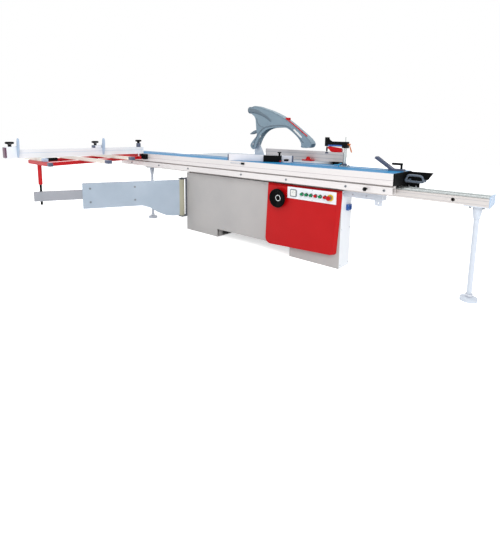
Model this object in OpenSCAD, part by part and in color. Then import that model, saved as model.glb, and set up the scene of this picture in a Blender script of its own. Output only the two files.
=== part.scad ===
/* [Cabinet] */
// Length of the cabinet along the slide
cab_l = 2030; // [1900:10:2200]
// Depth of the cabinet
cab_d = 760; // [720:10:820]
// Height of the front part of the cabinet
cab_h = 690; // [670:5:700]
// Length of each foot
foot_l = 522; // [500:2:540]
// Height of the gap between the feet
foot_h = 90; // [70:5:110]
// Depth of the operator's end of the cabinet
end_d = 190; // [170:5:240]
// Reach of the deep part towards the operator
body_x = 700; // [680:10:740]
// Thickness of the sheet steel
sheet = 4; // [3:0.5:5]
// Diameter of a floor anchor hole
anchor_d = 18; // [12:1:24]
// Distance between the anchor holes along the slide
anchor_l = 1200; // [1140:10:1260]
// Distance between the anchor holes across the slide
anchor_w = 600; // [500:10:640]

/* [Cover] */
// Length of the moulded cover
cover_l = 816; // [780:4:820]
// Height of the moulded cover
cover_h = 604; // [540:2:620]
// How far the cover stands out from the cabinet
cover_d = 36; // [24:2:44]
// Radius of the cover's corners
cover_r = 60; // [20:2:80]
// Length of the control panel
panel_l = 502; // [480:2:520]
// Height of the control panel
panel_h = 106; // [90:2:120]
// Distance between neighbouring buttons
button_pitch = 47; // [42:1:48]
// Diameter of a button cap
button_d = 26; // [20:1:30]
// Diameter of the handwheel
wheel_d = 182; // [150:2:200]

/* [Tables] */
// Height of the working surface above the floor
table_h = 880; // [880:1:890]
// Length of the cast table along the slide
table_l = 1090; // [1060:10:1120]
// Width of the cast table
table_w = 376; // [360:2:400]
// Depth of the table's edge
table_t = 45; // [40:1:50]
// Width of the side table
side_w = 375; // [300:5:420]
// Length of the outfeed table
outfeed_l = 800; // [600:10:900]
// Clear slot between the carriage and the cast table
slot_w = 24; // [22:1:30]

/* [Saw] */
// Diameter of the main blade
blade_d = 400; // [350:5:420]
// How far the blade stands above the table
blade_rise = 60; // [50:1:70]
// Thickness of the blade
blade_t = 3.6; // [2.5:0.1:4.5]
// Place of the arbor along the slide
arbor_x = 68; // [60:1:80]
// Diameter of the arbor in its housing
arbor_d = 34; // [25:1:40]
// Diameter of the scoring blade
scoring_d = 120; // [110:1:125]
// Distance from the arbor to the scoring spindle
scoring_dx = 300; // [290:1:310]
// Diameter of the motor
motor_d = 190; // [150:5:200]
// Length of the guard
guard_l = 813; // [780:1:830]
// Height of the guard
guard_h = 474; // [440:1:490]
// Width of the guard
guard_w = 80; // [60:1:84]

/* [Slide] */
// Length of the carriage
car_l = 3800; // [3600:10:3900]
// Width of the carriage
car_w = 370; // [360:1:380]
// Place of the carriage's operator end
car_x = 1461; // [1400:1:1500]
// How far the carriage stands out over the cabinet front
car_over = 60; // [50:1:70]
// Height of the carriage's front face
skirt_h = 164; // [160:1:165]
// Place of the beam's operator end
beam_x = 2082; // [2000:2:2150]
// Length of the beam
beam_l = 3982; // [3900:2:4100]
// Width of the beam's box
beam_w = 97; // [90:1:100]
// Height of the beam's box
beam_t = 58; // [54:1:60]
// Diameter of a guide rail
rail_d = 20; // [16:1:22]
// Diameter of a roller
roller_d = 52; // [48:1:52]

/* [Outrigger] */
// Length of the outrigger frame across the slide
rig_l = 1340; // [1300:10:1400]
// Width of the outrigger frame along the slide
rig_w = 546; // [500:2:600]
// Place of the outrigger frame's operator side
rig_x = -1400; // [-1440:5:-1380]
// How far the frame leans away from the operator at the carriage
rig_skew = 370; // [300:5:400]
// Length of a support bar
bar_l = 1320; // [1250:10:1400]
// Length of the crosscut fence
cross_l = 1470; // [1440:10:1500]
// Height of the crosscut fence
cross_h = 85; // [70:1:95]
// Length of the swing arm's plate
arm_l = 1090; // [1050:2:1110]
// Height of the arm at its hinge
arm_h = 420; // [380:2:430]
// Angle of the swing arm from square to the slide
arm_angle = 25.7; // [15:0.1:35]

/* [Fences] */
// Length of the rip fence
rip_l = 1000; // [900:10:1100]
// Height of the rip fence
rip_h = 100; // [80:1:120]
// Place of the rip fence across the slide
rip_y = 245; // [150:5:300]
// Length of the mitre fence
mitre_l = 676; // [600:2:720]
// Height of the mitre fence
mitre_h = 65; // [55:1:75]
// Angle of the mitre fence to the slide
mitre_angle = 27.6; // [20:0.1:40]
// Height of the hold-down post
post_h = 185; // [170:1:220]

/* [Hidden] */
$fn = 48;

// One overrun for all cuts, the clearance between sliding and turning faces, and a flat seat
over = 2;
gap = 0.4;
seat = 1;

// Places that most pieces share
front_y = -cab_d / 2;
rear_y = cab_d / 2;
cab_x = cab_l / 2;
foot_x = cab_x - foot_l;
car_y = front_y - car_over;
car_rear = car_y + car_w;
car_x0 = car_x - car_l;
blade_y = car_rear + slot_w / 2;
table_y = car_rear + slot_w;
table_x = 538;
table_x0 = table_x - table_l;
under_z = table_h - table_t;
arbor_z = table_h + blade_rise - blade_d / 2;

// Base frame and the dust outlet in the rear wall
plate_t = 12;
post_w = 50;
post_in = 30;
pad_h = 40;
tie_h = 50;
bearer_h = 40;
bearer_in = 20;
base_post_x = [-cab_x + sheet + post_in, -foot_x - post_w, foot_x, cab_x - sheet - post_in - post_w];
deep_post_x = [table_x0 + bearer_in, table_x - bearer_in - post_w];
front_post_y = front_y + sheet + post_in;
mid_post_y = table_y + 2 * post_in;
rear_post_y = rear_y - sheet - post_in - post_w;
outlet_d = 120;
outlet_l = 60;
outlet_wall = 3;
outlet_z = under_z - 2 * outlet_d;

// Moulded cover, control panel and handwheel
cover_x = cab_x + sheet;
cover_y = front_y - cover_d;
cover_z = cab_h + sheet;
cover_wall = 4;
cover_inset = 22;
panel_t = 6;
panel_in = 35;
panel_drop = 14;
panel_x = cover_x - panel_in;
panel_y = cover_y - panel_t;
panel_z = cover_z - panel_drop;
bezel_d = 34;
bezel_t = 5;
button_in = 339;
button_x = panel_x - button_in;
button_z = panel_z - panel_h / 2;
button_hole = 16;
button_cap = 14;
button_stem = 12;
button_reach = 8;
button_y = panel_y - bezel_t - button_reach;
stop_in = 54;
stop_x = panel_x - stop_in;
stop_d = 42;
stop_reach = 28;
stop_cap_y = panel_y - bezel_t - stop_reach;
stop_ring_d = 60;
meter_in = 466;
meter_x = panel_x - meter_in;
meter_w = 66;
meter_t = 8;
wheel_in = 637;
wheel_x = cover_x - wheel_in;
wheel_z = 560;
wheel_rim = 22;
wheel_stand = 34;
wheel_hub_d = 88;
wheel_hub_t = 30;
wheel_shaft_d = 20;
wheel_web = 8;
shaft_in = 60;

// Power inlet
inlet_w = 66;
inlet_h = 50;
inlet_d = 22;
inlet_bore = 34;
inlet_z = 538;
inlet_in = 36;
inlet_y = front_y + end_d - inlet_w - inlet_in;

// Tilting saw unit, with angles from straight down for the curved rails
trunnion_r = 190;
trunnion_band = 25;
trunnion_t = 24;
trunnion_shoe = 24;
shoe_low_angle = 18;
shoe_high_angle = 58;
rail_low_angle = -3;
rail_high_angle = 56;
scoring_x = arbor_x + scoring_dx;
scoring_in = 72;
cradle_t = 20;
cradle_back = 398;
cradle_gap = 88;
cradle_w = 55;
cradle_h = 384;
cradle_drop = 26;
cradle_x0 = arbor_x - cradle_back;
cradle_x1 = scoring_x + scoring_in;
cradle_y0 = blade_y + cradle_gap;
cradle_y1 = cradle_y0 + cradle_w;
cradle_z1 = table_h - cradle_drop;
cradle_z0 = cradle_z1 - cradle_h;
guide_d = 30;
guide_dx = 170;
guide_in = 22;
guide_y = cradle_y0 + guide_in;
bush_w = 60;
bush_h = 120;
bush_drop = 300;
bush_z = table_h - bush_drop;
lift_t = 12;
lift_h = 310;
lift_drop = 90;
lift_y = cradle_y1 + seat;
lift_z1 = table_h - lift_drop;
lift_z0 = lift_z1 - lift_h;
housing_d = 76;
housing_gap = 22;
housing_y = blade_y + housing_gap;
pulley_gap = 6;
pulley_y = lift_y + lift_t + pulley_gap;
pulley_w = 30;
pulley_arbor_d = 90;
pulley_motor_d = 120;
belt_t = 6;
motor_dx = 230;
motor_dz = 140;
motor_gap = 12;
motor_x = arbor_x - motor_dx;
motor_y = pulley_y + pulley_w + motor_gap;
motor_z = arbor_z - motor_dz;
motor_l = 214;
fin_h = 8;
fin_angle = 15;
stand_d = 20;
flange_d = 100;
flange_t = 10;
nut_d = 40;
nut_t = 14;
blade_bore = 30;
tooth_h = 9;
tooth_count = 48;
tooth_share = 0.9;
scoring_rise = 2;
scoring_z = table_h + scoring_rise - scoring_d / 2;
scoring_motor_d = 72;
scoring_shaft_d = 20;
scoring_flange_d = 50;
knife_t = 2.8;
knife_gap = 8;
knife_w = 62;
knife_rise = 190;
knife_top = table_h + knife_rise;
knife_r = blade_d / 2 + knife_gap;
knife_x0 = arbor_x - knife_r - knife_w;
knife_angle = 48;
knife_step_angle = 8;

// Guard: outline as shares of its length and height, from the lower left
guard_wall = 4;
guard_bolt_d = 12;
guard_bolt_shares = [0.085, 0.13];
guard_top_shares = [[0.030, 0.127], [0.090, 0.240], [0.148, 0.330], [0.130, 0.460], [0.125, 0.563],
                    [0.113, 0.745], [0.011, 0.850], [0.000, 0.900], [0.020, 0.955], [0.090, 1.000],
                    [0.160, 0.980], [0.240, 0.940], [0.400, 0.860], [0.610, 0.700], [0.930, 0.320],
                    [0.980, 0.240], [1.000, 0.180], [0.990, 0.130], [0.970, 0.100]];
guard_arch_shares = [[0.910, 0.090], [0.840, 0.100], [0.855, 0.160], [0.820, 0.270], [0.740, 0.390],
                     [0.640, 0.500], [0.590, 0.512], [0.435, 0.510], [0.370, 0.495], [0.300, 0.460],
                     [0.225, 0.370], [0.170, 0.240], [0.137, 0.105], [0.120, 0.030], [0.080, 0.000],
                     [0.035, 0.060]];
guard_lip_shares = [[0.006, 0.350], [0.060, 0.352], [0.140, 0.400], [0.135, 0.455], [0.090, 0.440]];
pivot_drop = 25;
guard_pivot = [knife_x0 - knife_w / 2 + guard_bolt_d, knife_top - pivot_drop];
guard_x = guard_pivot[0] - guard_bolt_shares[0] * guard_l;
guard_z = guard_pivot[1] - guard_bolt_shares[1] * guard_h;
spigot_d = 72;
spigot_l = 40;
spigot_wall = 3;
spigot_x = guard_x + spigot_d / 2;
spigot_z = guard_z + guard_h - spigot_d / 2 - 2 * guard_wall;

// Tables
top_t = 18;
rib_t = 20;
rib_in = 2;
rib_x = [cradle_x0 - trunnion_t + rib_in, cradle_x1 + rib_in];
free_w = 136;
free_y = table_y + free_w;
ext_wall = 6;
join = 0.5;
side_x = 330;
brace_t = 30;
brace_h = 320;
brace_in = 60;

// Slide: beam, rails, legs, truck and carriage
shim = 4;
beam_in = 28;
beam_y = front_y + beam_in;
beam_z = cab_h + shim;
beam_top = beam_z + beam_t;
beam_x0 = beam_x - beam_l;
beam_flange_w = 40;
beam_flange_t = 14;
beam_wall = 7;
beam_bore = 26;
beam_bore_in = 222;
rail_in = 17;
rail_gauge = 100;
rail_sink = 4;
rail_y = [beam_y + rail_in, beam_y + rail_in + rail_gauge];
rail_z = beam_top + rail_d / 2 - rail_sink;
rail_top = rail_z + rail_d / 2;
roller_w = 20;
roller_z = rail_top + gap + roller_d / 2;
rib_w = 24;
rib_z = roller_z + roller_d / 2 + gap;
cap_t = 8;
cap_w = 180;
bracket_l = 335;
bracket_h = 50;
tab_l = 60;
tab_h = 92;
tab_bore = 14;
leg_in = 72;
leg_x = [beam_x - leg_in, beam_x0 + leg_in];
leg_y = beam_y + beam_w / 2;
leg_d = 34;
leg_foot_d = 115;
leg_foot_t = 22;
leg_socket_d = 66;
leg_socket_h = 86;
leg_plate_l = 160;
leg_plate_t = 8;
deck_t = 34;
skirt_d = 70;
skirt_box = 56;
skirt_slot = 14;
skirt_slot_d = 40;
car_wall = 6;
edge_t = 8;
edge_in = 65;
tee_in = 259;
tee_y = car_y + tee_in;
tee_w = 16;
tee_under = 30;
tee_lip = 8;
tee_d = 22;
truck_l = 1400;
truck_x = (car_x + car_x0 + beam_x + beam_x0) / 4;
truck_bar_w = 16;
truck_bar_h = 30;
axle_d = 14;
roller_count = 4;

// Operator's end of the carriage
end_t = 12;
end_plate_t = 10;
end_plate_l = 190;
end_plate_h = 118;
end_plate_in = 30;
end_plate_y = tee_y + end_plate_in;
end_shares = [[0, 0], [0.45, 0], [0.45, 0.26], [0.81, 0.52], [1, 1], [0, 1]];
handle_l = 150;
handle_h = 60;
handle_t = 18;
handle_bar = 15;
handle_d = 90;
lock_in = 206;
lock_d = 34;
lock_h = 22;
lock_stem_d = 10;

// Swing arm: its plate, with the underside's rise as shares of length and depth
arm_t = 60;
arm_top = 600;
arm_end_h = 276;
arm_taper_shares = [[0.10, 1.00], [0.18, 0.93], [0.27, 0.62], [0.35, 0.20], [0.43, 0.00]];
hinge_out_x = 40;
hinge_out_y = 45;
hinge_x = -cab_x - hinge_out_x;
hinge_y = front_y - hinge_out_y;
hinge_d = 60;
hinge_pin_d = 24;
hinge_lip = 10;
hinge_low = arm_top - arm_h - hinge_lip;
hinge_high = arm_top + hinge_lip;
hinge_ear_t = 10;

// Outrigger: frame tubes, and bars placed by shares of the frame's and the bars' lengths
tube_w = 36;
rig_rail_h = 62;
bar_w = 40;
bar_h = 34;
tube_top = table_h - bar_h;
rig_y = car_y - rig_l;
plug_l = 50;
post_d = 34;
post_gap = 4;
post_low = arm_top + post_gap;
bar_at_shares = [0.391, 0.717];
bar_over_shares = [0.064, 0.280, -0.174];
bar_shares = [0.83, 1, 0.58];
bar_y = [car_y - bar_at_shares[0] * rig_l, car_y - bar_at_shares[1] * rig_l, rig_y + tube_w / 2];
bar_x = [for (s = bar_over_shares) rig_x + s * bar_l];
bar_cap_l = 60;
cap_grow = 3;

// Telescopic section between the arm and the outrigger's post
slider_t = 46;
slider_h = 100;
slider_drop = 70;
slider_z1 = arm_top - slider_drop;
slider_z0 = slider_z1 - slider_h;
slider_in = 500;
slider_over = 63;
pocket_l = 800;
pin_d = 20;
pin_drop = 40;
pin_reach = (hinge_y - rig_y - tube_w / 2) / cos(arm_angle);
post_x = hinge_x - pin_reach * sin(arm_angle);

// Crosscut fence and its stops
cross_in = 430;
cross_x = rig_x - cross_in;
cross_w = 60;
cross_gap = 30;
cross_y = car_y - cross_gap;
cross_y0 = cross_y - cross_l;
cross_z0 = table_h + gap;
cross_z1 = table_h + cross_h;
cross_wall = 5;
cross_pin_d = 20;
cross_pin_in = 50;
cross_pin_y = cross_y - cross_pin_in;
knob_d = 50;
knob_h = 20;
knob_stem = 26;
ext_l = 800;
ext_out = 100;
stop_l = 90;
stop_h = 31;
stop_wall = 8;
near_in = 565;
near_y = cross_y - near_in - stop_l;
flip_t = 10;
flip_w = 34;
leaf_w = 56;
flip_pin_d = 12;
flip_up = 118;
flip_x = cross_x + cross_w / 2;
flip_z = cross_z1 + gap + flip_w / 2;

// Hold-down clamp
clamp_in = 537;
clamp_x = car_x - clamp_in;
clamp_post_d = 28;
clamp_base_l = 70;
clamp_base_h = 14;
clamp_rod_d = 8;
clamp_rod_h = 264;
clamp_arm_l = 200;
clamp_arm_w = 30;
clamp_arm_h = 44;
clamp_arm_rise = 178;
clamp_arm_z = table_h + clamp_arm_rise;
clamp_arm_x = clamp_x - clamp_arm_l;
clamp_up_h = 37;
clamp_block_h = 56;
clamp_block_w = 46;
grip_l = 140;
grip_h = 52;
pad_d = 30;
pad_t = 12;
lever_d = 12;
lever_l = 75;
lever_angle = 20;

// Edging shoe
shoe_in = 131;
shoe_x = car_x - shoe_in;
shoe_l = 120;
shoe_w = 60;
shoe_h = 16;
shoe_plate_l = 175;
shoe_plate_t = 8;
shoe_angle = 33;
shoe_stem_h = 46;
shoe_stem_d = 12;
shoe_bar_l = 75;

// Mitre fence
mitre_in = 1173;
mitre_x = car_x - mitre_in;
mitre_w = 30;
mitre_over = 60;
mitre_base_d = 70;
mitre_base_t = 10;
mitre_face = mitre_base_d / 4;
mitre_wall = 4;
mitre_knob_d = 40;
mitre_stop_at = 52;
mitre_stop_l = 180;
mitre_stop_w = 40;
mitre_stop_h = 36;

// Rip fence and its push block
rip_over = 150;
rip_x = table_x + rip_over;
rip_w = 50;
rip_lift = 5;
rip_wall = 5;
rip_bar_d = 40;
rip_bar_l = 740;
rip_bar_out = 43;
rip_bar_drop = 95;
rip_bar_in = 6;
rip_bar_x = table_x + rip_bar_out;
rip_bar_y = table_y + rip_bar_in;
rip_bar_z = table_h - rip_bar_drop;
rip_foot_l = 30;
carrier_l = 70;
carrier_w = 140;
carrier_h = 140;
notch_h = 100;
push_in = 330;
push_l = 120;
push_w = 78;
push_h = 45;
push_base_t = 12;
push_top_d = 36;
push_low_d = 60;

// Plain shapes that repeat
module slab(p, q) {
  translate(p) cube(q - p);
}

module along_x(x0, x1) {
  translate([x0, 0, 0]) rotate([90, 0, 90]) linear_extrude(x1 - x0) children();
}

module along_y(y0, y1) {
  translate([0, y1, 0]) rotate([90, 0, 0]) linear_extrude(y1 - y0) children();
}

module rod_x(x0, x1, y, z, d) {
  translate([x0, y, z]) rotate([0, 90, 0]) cylinder(h = x1 - x0, d = d);
}

module rod_y(y0, y1, x, z, d) {
  translate([x, y0, z]) rotate([-90, 0, 0]) cylinder(h = y1 - y0, d = d);
}

module rod_z(z0, z1, x, y, d) {
  translate([x, y, z0]) cylinder(h = z1 - z0, d = d);
}

module rect(x0, y0, x1, y1) {
  translate([x0, y0]) square([x1 - x0, y1 - y0]);
}

module star_knob(d, h, stem_d, stem_h) {
  cylinder(h = stem_h, d = stem_d);
  translate([0, 0, stem_h]) cylinder(h = h, d = d);
}

// Welded base: foot plates, posts, beam pads, table bearers and ties
module base_frame() color("dimgray") difference() {
  union() {
    slab([-cab_x + sheet, front_y + sheet, 0], [-foot_x, rear_y - sheet, plate_t]);
    slab([foot_x, front_y + sheet, 0], [body_x - sheet, rear_y - sheet, plate_t]);
    slab([foot_x, front_y + sheet, 0], [cab_x - sheet, front_y + end_d - sheet, plate_t]);
    for (x = base_post_x)
      slab([x, front_post_y, 0], [x + post_w, front_post_y + post_w, cab_h]);
    for (x = deep_post_x, y = [mid_post_y, rear_post_y])
      slab([x, y, 0], [x + post_w, y + post_w, under_z]);
    for (x = deep_post_x)
      slab([x, mid_post_y, under_z - bearer_h], [x + post_w, rear_post_y + post_w, under_z]);
    for (i = [0, 2])
      slab([base_post_x[i], front_post_y, cab_h - pad_h],
           [base_post_x[i + 1] + post_w, beam_y + beam_w, cab_h]);
    slab([base_post_x[1], front_post_y, foot_h],
         [base_post_x[2] + post_w, front_post_y + post_w, foot_h + tie_h]);
    slab([deep_post_x[0], rear_post_y, foot_h],
         [deep_post_x[1] + post_w, rear_post_y + post_w, foot_h + tie_h]);
  }
  for (x = [-anchor_l, anchor_l] / 2, y = [-anchor_w, anchor_w] / 2)
    rod_z(-over, plate_t + over, x, y, anchor_d);
}

module front_panel() color("silver") difference() {
  along_y(front_y, front_y + sheet) difference() {
    rect(-cab_x, 0, cab_x, cab_h);
    rect(-foot_x, -over, foot_x, foot_h);
  }
  rod_y(front_y - over, front_y + sheet + over, wheel_x, wheel_z, wheel_shaft_d + 2 * gap);
  for (i = [0:5])
    rod_y(front_y - over, front_y + sheet + over, button_x + i * button_pitch, button_z, bezel_d);
  rod_y(front_y - over, front_y + sheet + over, stop_x, button_z, bezel_d);
}

module cover_outline(inset, lift) {
  x1 = cover_x - inset;
  x0 = cover_x - cover_l + inset;
  z1 = cover_z - inset;
  z0 = cover_z - cover_h + lift;
  hull() {
    rect(x1 - cover_r, z1 - cover_r, x1, z1);
    translate([x0 + cover_r, z0 + cover_r]) circle(cover_r, $fn = 32);
    translate([x1 - cover_r, z0 + cover_r]) circle(cover_r / 2, $fn = 32);
    rect(x0 + cover_inset, z1 - cover_r, x1, z1);
  }
}

module cover_form(inset, back) {
  hull() {
    along_y(front_y - back, front_y) cover_outline(inset, inset);
    along_y(cover_y + inset, front_y - back) cover_outline(inset + cover_inset, inset);
  }
}

module red_cover() color("firebrick") difference() {
  cover_form(0, cover_wall);
  translate([0, over, 0]) cover_form(cover_wall, cover_wall);
  rod_y(cover_y - over, front_y + over, wheel_x, wheel_z, wheel_shaft_d + 2 * gap);
  for (i = [0:5])
    rod_y(cover_y - over, front_y + over, button_x + i * button_pitch, button_z, bezel_d);
  rod_y(cover_y - over, front_y + over, stop_x, button_z, bezel_d);
}

module control_panel() {
  color("ivory") difference() {
    slab([panel_x - panel_l, panel_y, panel_z - panel_h], [panel_x, cover_y, panel_z]);
    for (i = [0:5])
      rod_y(panel_y - over, cover_y + over, button_x + i * button_pitch, button_z, button_hole + 2 * gap);
    rod_y(panel_y - over, cover_y + over, stop_x, button_z, button_hole + 2 * gap);
  }
  color("black") for (i = [0:5]) difference() {
    rod_y(panel_y - bezel_t, panel_y, button_x + i * button_pitch, button_z, bezel_d);
    rod_y(panel_y - bezel_t - over, panel_y + over, button_x + i * button_pitch, button_z,
          button_hole + 2 * gap);
  }
  color("gold") difference() {
    rod_y(panel_y - bezel_t, panel_y, stop_x, button_z, stop_ring_d);
    rod_y(panel_y - bezel_t - over, panel_y + over, stop_x, button_z, button_hole + 2 * gap);
  }
  color("dimgray") slab([meter_x, panel_y - meter_t, button_z - meter_w / 2],
                        [meter_x + meter_w, panel_y, button_z + meter_w / 2]);
}

// A push button: a cap over the bezel on a stem through the panel
module button(i, tint) color(tint) {
  x = button_x + i * button_pitch;
  rod_y(button_y - button_cap, button_y, x, button_z, button_d);
  rod_y(button_y, cover_y + button_stem, x, button_z, button_hole);
}

module button_1() button(0, "seagreen");
module button_2() button(1, "seagreen");
module button_3() button(2, "seagreen");
module button_4() button(3, "crimson");
module button_5() button(4, "seagreen");
module button_6() button(5, "crimson");

module stop_button() color("red") {
  rod_y(stop_cap_y - button_cap, stop_cap_y, stop_x, button_z, stop_d);
  rod_y(stop_cap_y, cover_y + button_stem, stop_x, button_z, button_hole);
}

module handwheel() color("black") {
  y0 = cover_y - wheel_stand;
  translate([wheel_x, y0, wheel_z]) rotate([90, 0, 0])
    rotate_extrude() translate([(wheel_d - wheel_rim) / 2, 0]) circle(d = wheel_rim);
  rod_y(y0, y0 + wheel_hub_t, wheel_x, wheel_z, wheel_hub_d);
  rod_y(y0, front_y + shaft_in, wheel_x, wheel_z, wheel_shaft_d);
  rod_y(y0 - wheel_web / 2, y0 + wheel_web / 2, wheel_x, wheel_z, wheel_d - wheel_rim);
}

module end_panel() color("white") {
  slab([cab_x - sheet, front_y + sheet, 0], [cab_x, front_y + end_d, cab_h]);
}

// Left wall, deep right wall, rear wall with its dust outlet, and the return behind the operator's end
module rear_cabinet() color("silver") difference() {
  union() {
    slab([-cab_x, front_y + sheet, 0], [-cab_x + sheet, table_y, cab_h]);
    slab([-cab_x, table_y, 0], [-cab_x + sheet, rear_y, under_z]);
    slab([body_x - sheet, front_y + end_d - sheet, 0], [body_x, table_y, cab_h]);
    slab([body_x - sheet, table_y, 0], [body_x, rear_y, under_z]);
    slab([-cab_x + sheet, rear_y - sheet, foot_h], [body_x - sheet, rear_y, under_z]);
    slab([body_x, front_y + end_d - sheet, 0], [cab_x - sheet, front_y + end_d, cab_h]);
    rod_y(rear_y, rear_y + outlet_l, arbor_x, outlet_z, outlet_d);
  }
  rod_y(rear_y - sheet - over, rear_y + outlet_l + over, arbor_x, outlet_z, outlet_d - 2 * outlet_wall);
  slab([table_x - rib_t, rear_y - sheet - over, under_z - notch_h],
       [body_x - sheet, rear_y + over, under_z + over]);
}

module power_inlet() color("royalblue") difference() {
  slab([cab_x, inlet_y, inlet_z - inlet_h / 2],
       [cab_x + inlet_d, inlet_y + inlet_w, inlet_z + inlet_h / 2]);
  rod_x(cab_x + inlet_d / 2, cab_x + inlet_d + over, inlet_y + inlet_w / 2, inlet_z, inlet_bore);
}

module sector(r0, r1, a0, a1) {
  steps = 24;
  polygon(concat([for (i = [0:steps]) let (a = a0 + (a1 - a0) * i / steps) r1 * [sin(a), -cos(a)]],
                 [for (i = [steps:-1:0]) let (a = a0 + (a1 - a0) * i / steps) r0 * [sin(a), -cos(a)]]));
}

module tilt_slice(x0, x1) {
  translate([0, blade_y, table_h]) along_x(x0, x1) children();
}

// Curved shoe under the table in which one end of the cradle tilts
module trunnion_shoe_at(x) {
  r = trunnion_r + gap;
  tilt_slice(x, x + trunnion_t) union() {
    sector(r, r + trunnion_shoe, shoe_low_angle, shoe_high_angle);
    difference() {
      rect(free_y - blade_y, -table_t - trunnion_r, r + trunnion_shoe, -table_t);
      circle(r = r);
      rect(0, -2 * trunnion_r, r + trunnion_shoe, -(r + trunnion_shoe) * cos(shoe_high_angle));
    }
  }
}

// Cast top plate with ribs and two curved shoes, clear of the saw unit along the blade side
module main_table() color("gainsboro") {
  y1 = table_y + table_w;
  slab([table_x0, table_y, table_h - top_t], [table_x, y1, table_h]);
  slab([table_x0, y1 - rib_t, under_z], [table_x, y1, table_h - top_t]);
  slab([table_x0, free_y, under_z], [table_x, free_y + rib_t, table_h - top_t]);
  for (x = concat([table_x0, table_x - rib_t], rib_x))
    slab([x, free_y, under_z], [x + rib_t, y1, table_h - top_t]);
  for (x = [cradle_x0 - trunnion_t, cradle_x1]) trunnion_shoe_at(x);
}

module tray(x0, y0, x1, y1) difference() {
  slab([x0, y0, under_z], [x1, y1, table_h]);
  slab([x0 + ext_wall, y0 + ext_wall, under_z - over], [x1 - ext_wall, y1 - ext_wall, table_h - ext_wall]);
}

// Folded-steel side and outfeed tables, the side table on two braces
module extension_tables() color("lightgray") {
  y1 = table_y + table_w + join;
  y2 = y1 + side_w;
  tray(table_x0, y1, side_x, y2);
  tray(table_x0 - join - outfeed_l, table_y, table_x0 - join, y2);
  for (x = [table_x0 + brace_in, side_x - brace_in - brace_t])
    along_x(x, x + brace_t) polygon([[rear_y, under_z - brace_h], [y2 - ext_wall, under_z],
                                     [y2 - ext_wall - 2 * brace_t, under_z],
                                     [rear_y, under_z - brace_h + 2 * brace_t]]);
}

// Tilting cradle: two end plates with curved rails, cross plates and guide columns
module saw_cradle() color("darkslategray") {
  for (x = [cradle_x0, cradle_x1 - cradle_t])
    slab([x, cradle_y0, cradle_z0], [x + cradle_t, cradle_y1, cradle_z1]);
  for (x = [cradle_x0 - trunnion_t, cradle_x1 - cradle_t])
    tilt_slice(x, x + trunnion_t + cradle_t)
      sector(trunnion_r - trunnion_band, trunnion_r, rail_low_angle, rail_high_angle);
  for (z = [cradle_z0, cradle_z1 - cradle_t])
    slab([cradle_x0, cradle_y0, z], [cradle_x1, cradle_y1, z + cradle_t]);
  for (dx = [-guide_dx, guide_dx])
    rod_z(cradle_z0, cradle_z1, arbor_x + dx, guide_y, guide_d);
}

// Scoring motor hung from the cradle's top plate
module scoring_motor() color("dimgray") difference() {
  union() {
    rod_y(cradle_y0, cradle_y1, scoring_x, scoring_z, scoring_motor_d);
    rod_y(blade_y + flange_t * 2, cradle_y0, scoring_x, scoring_z, scoring_flange_d);
  }
  rod_y(blade_y, cradle_y0 + flange_t * 2, scoring_x, scoring_z, scoring_shaft_d + 2 * gap);
  slab([cradle_x0, cradle_y0 - over, cradle_z1 - cradle_t], [cradle_x1, cradle_y1 + over, table_h]);
}

module scoring_spindle() color("lightgray") {
  rod_y(blade_y - nut_t, cradle_y0 + flange_t, scoring_x, scoring_z, scoring_shaft_d);
  rod_y(blade_y - blade_t / 2, blade_y + blade_t / 2, scoring_x, scoring_z, scoring_d);
  rod_y(blade_y - flange_t, blade_y + flange_t, scoring_x, scoring_z, scoring_flange_d);
}

// Lifting plate with the arbor housing, two bushes and the knife's holder
module saw_arm() color("gray") difference() {
  union() {
    slab([motor_x - motor_d / 2, lift_y, lift_z0],
         [arbor_x + guide_dx + bush_w / 2, lift_y + lift_t, lift_z1]);
    for (dx = [-guide_dx, guide_dx])
      slab([arbor_x + dx - bush_w / 2, guide_y - bush_w / 2, bush_z],
           [arbor_x + dx + bush_w / 2, lift_y, bush_z + bush_h]);
    rod_y(housing_y, lift_y, arbor_x, arbor_z, housing_d);
    slab([knife_x0, blade_y + knife_t / 2, arbor_z - housing_d / 2],
         [knife_x0 + knife_w, lift_y, arbor_z]);
    for (a = [45:90:315])
      rod_y(lift_y, motor_y, motor_x + (motor_d - stand_d) / 2 * cos(a),
            motor_z + (motor_d - stand_d) / 2 * sin(a), stand_d);
  }
  for (dx = [-guide_dx, guide_dx])
    rod_z(bush_z - over, bush_z + bush_h + over, arbor_x + dx, guide_y, guide_d + 2 * gap);
  rod_y(housing_y - over, lift_y + lift_t + over, arbor_x, arbor_z, arbor_d + 2 * gap);
}

module motor() color("steelblue") difference() {
  union() {
    rod_y(motor_y, motor_y + motor_l, motor_x, motor_z, motor_d - 2 * fin_h);
    for (a = [0:fin_angle:359])
      translate([motor_x, motor_y, motor_z]) rotate([0, a, 0])
        slab([0, 0, -seat], [motor_d / 2, motor_l - 4 * fin_h, seat]);
  }
  rod_y(motor_y - over, motor_y + 2 * fin_h, motor_x, motor_z, arbor_d);
}

module riving_knife() color("lightsteelblue") difference() {
  along_y(blade_y - knife_t / 2, blade_y + knife_t / 2)
    polygon(concat([[knife_x0, arbor_z - housing_d / 2], [knife_x0 + knife_w, arbor_z - housing_d / 2]],
                   [for (a = [0:knife_step_angle:knife_angle])
                    [arbor_x - knife_r * cos(a), arbor_z + knife_r * sin(a)]],
                   [[knife_x0 + knife_w / 2, knife_top], [knife_x0 - knife_w / 2, knife_top],
                    [knife_x0 - knife_w / 2, table_h]]));
  rod_y(blade_y - knife_t, blade_y + knife_t, guard_pivot[0], guard_pivot[1], guard_bolt_d + 2 * gap);
}

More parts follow.
